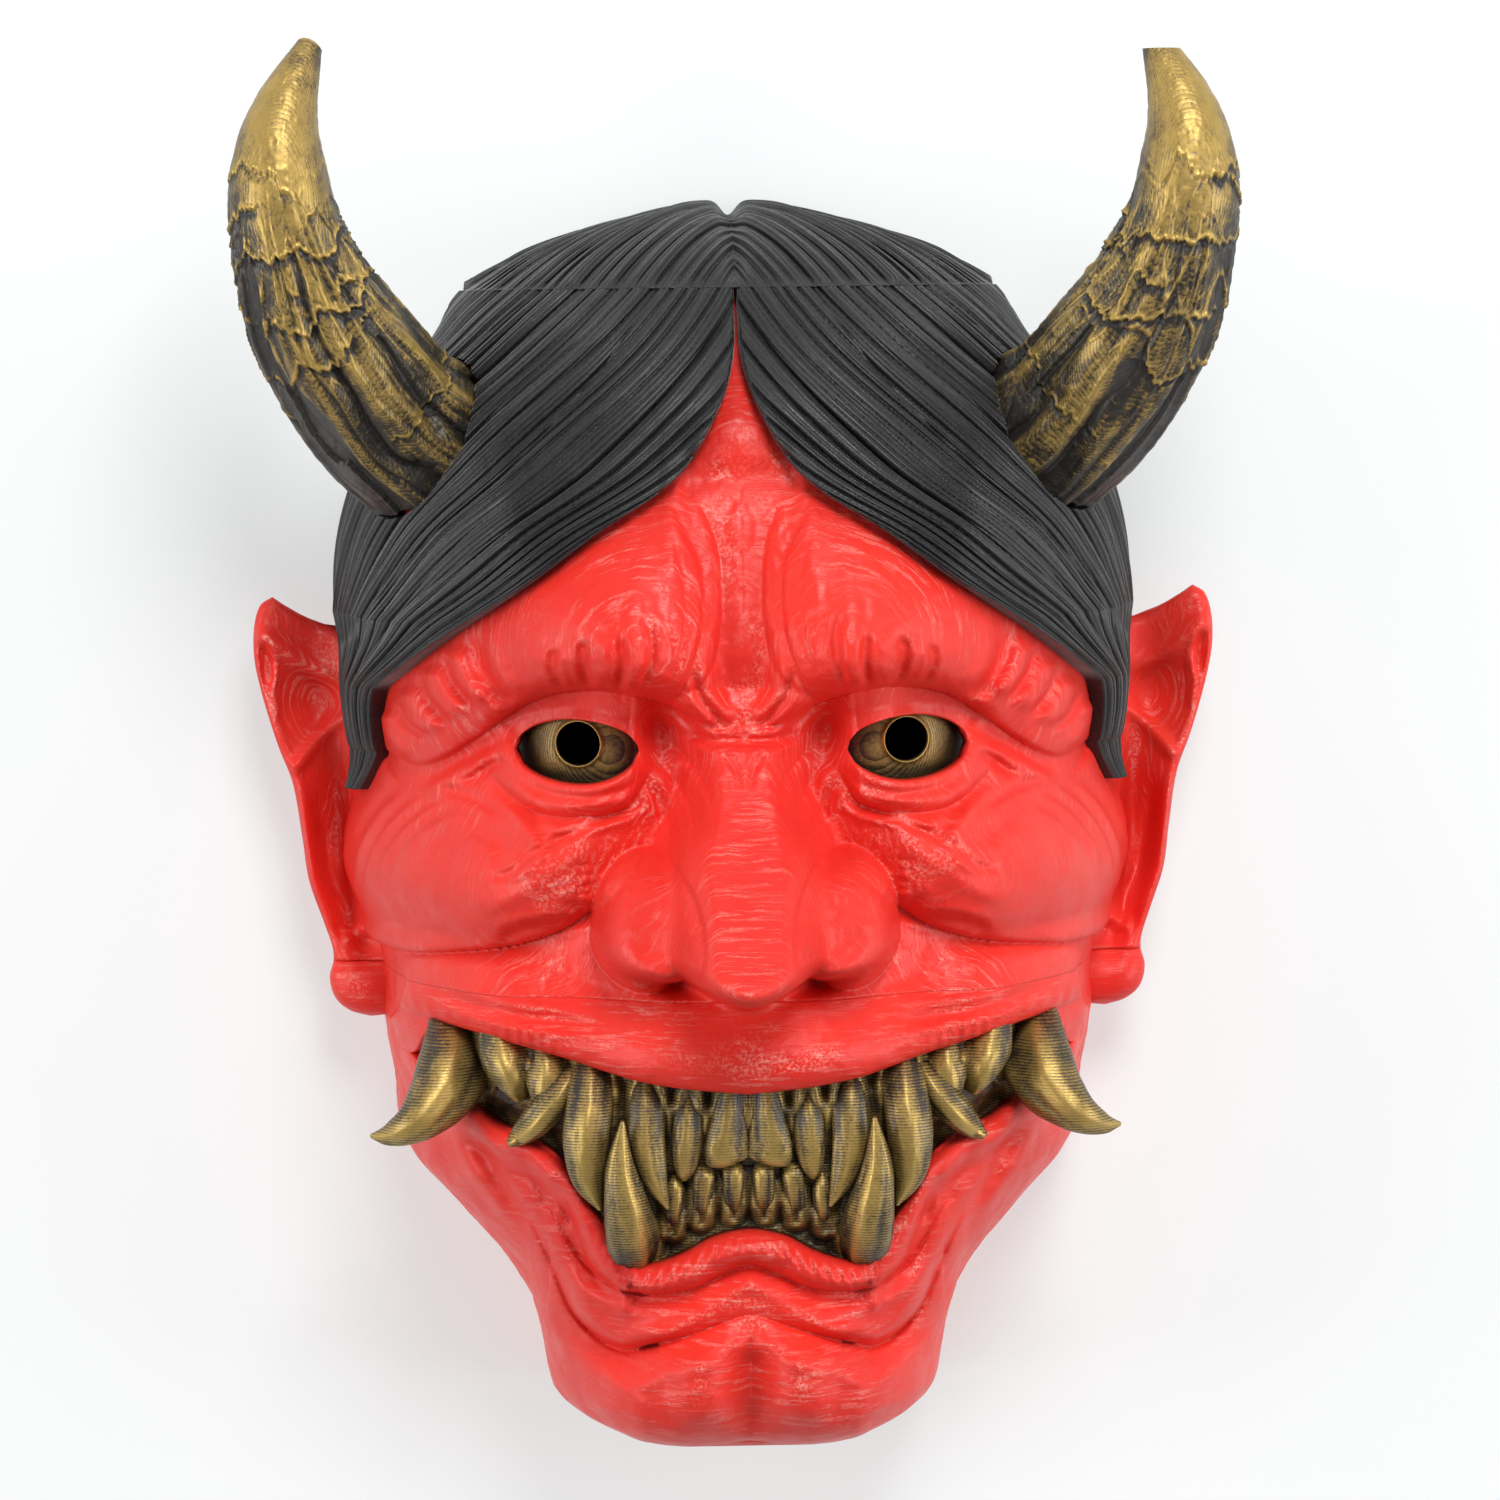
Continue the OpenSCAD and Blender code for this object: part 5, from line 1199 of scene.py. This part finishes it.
def wood_material():
    """Beech for the dowels, its grain running along them."""
    material, tree, shader, coords = new_material("beech_look")
    stretched = add(tree, "Mapping", {"Vector": coords, "Scale": (1.0, 6.0, 6.0)}).outputs[0]
    tint = blend(tree, speckle(tree, stretched, 160.0, 4.0), (0.50, 0.31, 0.16, 1), (0.74, 0.54, 0.33, 1))
    coat_shader(tree, shader, tint, 0.6, speckle(tree, stretched, 700.0), strength=0.3, distance=0.1)
    return material


# ---------------------------------------------------------------- camera, lights and backdrop

AMBIENT, BACKDROP_GLOW = 0.30, 0.45
# The second colour is a black painted shade for the wall behind the mask's hollow
PAPER, SHADE_PAD = (0.505, 0.53, 0.53, 1), (0.003, 0.003, 0.003, 1)
MASK_MIDDLE = (0, -0.05, 0)
# Name, place, diameter and power of each lamp
LAMPS = [
    ("key", (0.22, -1.10, 0.95), 0.6, 13.5),
    ("left", (-1.15, -0.60, 0.0), 0.8, 8),
    ("right", (1.15, -0.55, 0.0), 0.8, 7.5),
]


def add_camera():
    """The camera in front of the face and a little above it, rolled slightly as the photograph is."""
    data = bpy.data.cameras.new("camera")
    data.sensor_width = 36.0
    data.lens = 126.0
    data.clip_end = 20
    camera = bpy.context.scene.camera = add_object("camera", data)
    target = Vector((1.6, -75.0, -1.6)) * MM
    place = Vector((-25.9, -1125.0, 91.4)) * MM
    turn = (target - place).normalized().to_track_quat("-Z", "Y").to_matrix().to_4x4()
    camera.matrix_world = Matrix.Translation(place) @ turn @ Matrix.Rotation(math.radians(-0.7), 4, "Z")


def add_lamp(name, place, size, power):
    data = bpy.data.lights.new(name, "AREA")
    data.shape = "DISK"
    data.size = size
    data.energy = power
    light = add_object(name, data)
    light.location = place
    light.rotation_euler = (Vector(MASK_MIDDLE) - Vector(place)).to_track_quat("-Z", "Y").to_euler()


def add_world():
    """Soft light from all round, and plain white where the camera looks past the mask."""
    world = bpy.data.worlds.new("world")
    bpy.context.scene.world = world
    world.use_nodes = True
    tree = world.node_tree
    path = add(tree, "LightPath")
    seen = calc(tree, "MAXIMUM", path.outputs["Is Camera Ray"], path.outputs["Is Transmission Ray"])
    direction = add(tree, "SeparateXYZ", {0: add(tree, "TexCoord").outputs["Generated"]}).outputs[1]
    sides = smooth(tree, direction, -0.80, -0.10)
    seen = calc(tree, "MAXIMUM", seen, times(tree, path.outputs["Is Glossy Ray"], sides))
    background = tree.nodes["Background"]
    background.inputs["Color"].default_value = (1, 1, 1, 1)
    tree.links.new(smooth(tree, seen, 0.0, 1.0, AMBIENT, 1.0), background.inputs["Strength"])


def add_backdrop():
    """A pale wall that the rim lies against, seen only from in front, with a black pad inside the rim as
    painted shade, which keeps the mask's hollow dark where the eyes and mouth show it.
    """
    size, behind, shade_half_x, shade_half_z = 3.0, 0.0006, 0.060, 0.075
    mesh = bpy.data.meshes.new("backdrop")
    corners = [(-size, 0, -size), (size, 0, -size), (size, 0, size), (-size, 0, size)]
    mesh.from_pydata(corners, [], [(0, 1, 2, 3)])
    wall = add_object("backdrop", mesh)
    wall.location = (0, behind, 0)
    material = bpy.data.materials.new("backdrop")
    material.use_nodes = True
    tree = material.node_tree
    tree.nodes.clear()
    place = add(tree, "SeparateXYZ", {0: add(tree, "TexCoord").outputs["Object"]})
    # Painted shade: the wall is black inside the rim, so the hollow looks dark through the eyes and mouth
    inside_x = calc(tree, "LESS_THAN", calc(tree, "ABSOLUTE", place.outputs[0]), shade_half_x)
    inside_z = calc(tree, "LESS_THAN", calc(tree, "ABSOLUTE", place.outputs[2]), shade_half_z)
    painted_shade = times(tree, inside_x, inside_z)
    paper = add(tree, "BsdfDiffuse", {"Color": blend(tree, painted_shade, PAPER, SHADE_PAD)})
    path = add(tree, "LightPath")
    seen = calc(tree, "MAXIMUM", path.outputs["Is Camera Ray"], path.outputs["Is Glossy Ray"])
    glow = times(tree, seen, calc(tree, "SUBTRACT", 1.0, painted_shade), BACKDROP_GLOW)
    light = add(tree, "Emission", {"Color": (1, 1, 1, 1), "Strength": glow})
    front = add(tree, "AddShader", {0: paper.outputs[0], 1: light.outputs[0]})
    behind_it = add(tree, "NewGeometry").outputs["Backfacing"]
    clear = add(tree, "BsdfTransparent")
    both = add(tree, "MixShader", {0: behind_it, 1: front.outputs[0], 2: clear.outputs[0]})
    output = add(tree, "OutputMaterial")
    tree.links.new(both.outputs[0], output.inputs["Surface"])
    mesh.materials.append(material)


add_camera()
add_world()
add_backdrop()
for lamp in LAMPS:
    add_lamp(*lamp)

# ---------------------------------------------------------------- the pieces

red, red_low = red_material("red_print_look", 1), red_material("red_upright_print_look", 2)
black, wood = black_material(), wood_material()
horn_gold = gold_material("gold_horn_look", 1)
tooth_gold = gold_material("gold_tooth_look", 2, 0.7, 0.9, 0.6, 0.6)
eye_gold = gold_material("gold_eye_look", 1, 0.2, 0.6)


def dress(name, parts, node, material):
    """A visible piece welded from its parts, fixed to the root body in place of the CAD node that it hides.
    """
    piece = weld(name, parts)
    piece.data.materials.append(material)
    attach(piece, "root")
    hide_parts(node)


upper_skin = [upper_face(), *ears(0.0, EAR_SEAM - EAR_GAP, 120)]
lower_skin = [lower_face(), *ears(EAR_SEAM + EAR_GAP, 1.0, 40)]
dress("upper_face_skin", upper_skin, "upper_face", red)
dress("lower_face_skin", lower_skin, "lower_face", red_low)
for side, word in SIDES.items():
    dress(word + "_lock", [lock(side)], word + "_hair_lock", black)
    dress(word + "_horn_body", [horn(side)], word + "_horn", horn_gold)
    dress(word + "_eye_dome", [eye(side)], word + "_eye", eye_gold)
dress("crown", [hair_crown()], "hair_crown", black)
upper = [gum(-54.0, -84.0, 0.95, UPPER_TEETH), *teeth_of(UPPER_TEETH, 3)]
lower = [gum(-84.5, -110.0, 0.5, LOWER_TEETH), *teeth_of(LOWER_TEETH, 60)]
dress("upper_teeth_row", upper, "upper_teeth", tooth_gold)
dress("lower_teeth_row", lower, "lower_teeth", tooth_gold)
for piece in bpy.data.objects:
    if piece.type == "MESH" and "horn_dowel" in piece.name:
        piece.data.materials.clear()
        piece.data.materials.append(wood)

bpy.context.scene.view_settings.view_transform = "Standard"
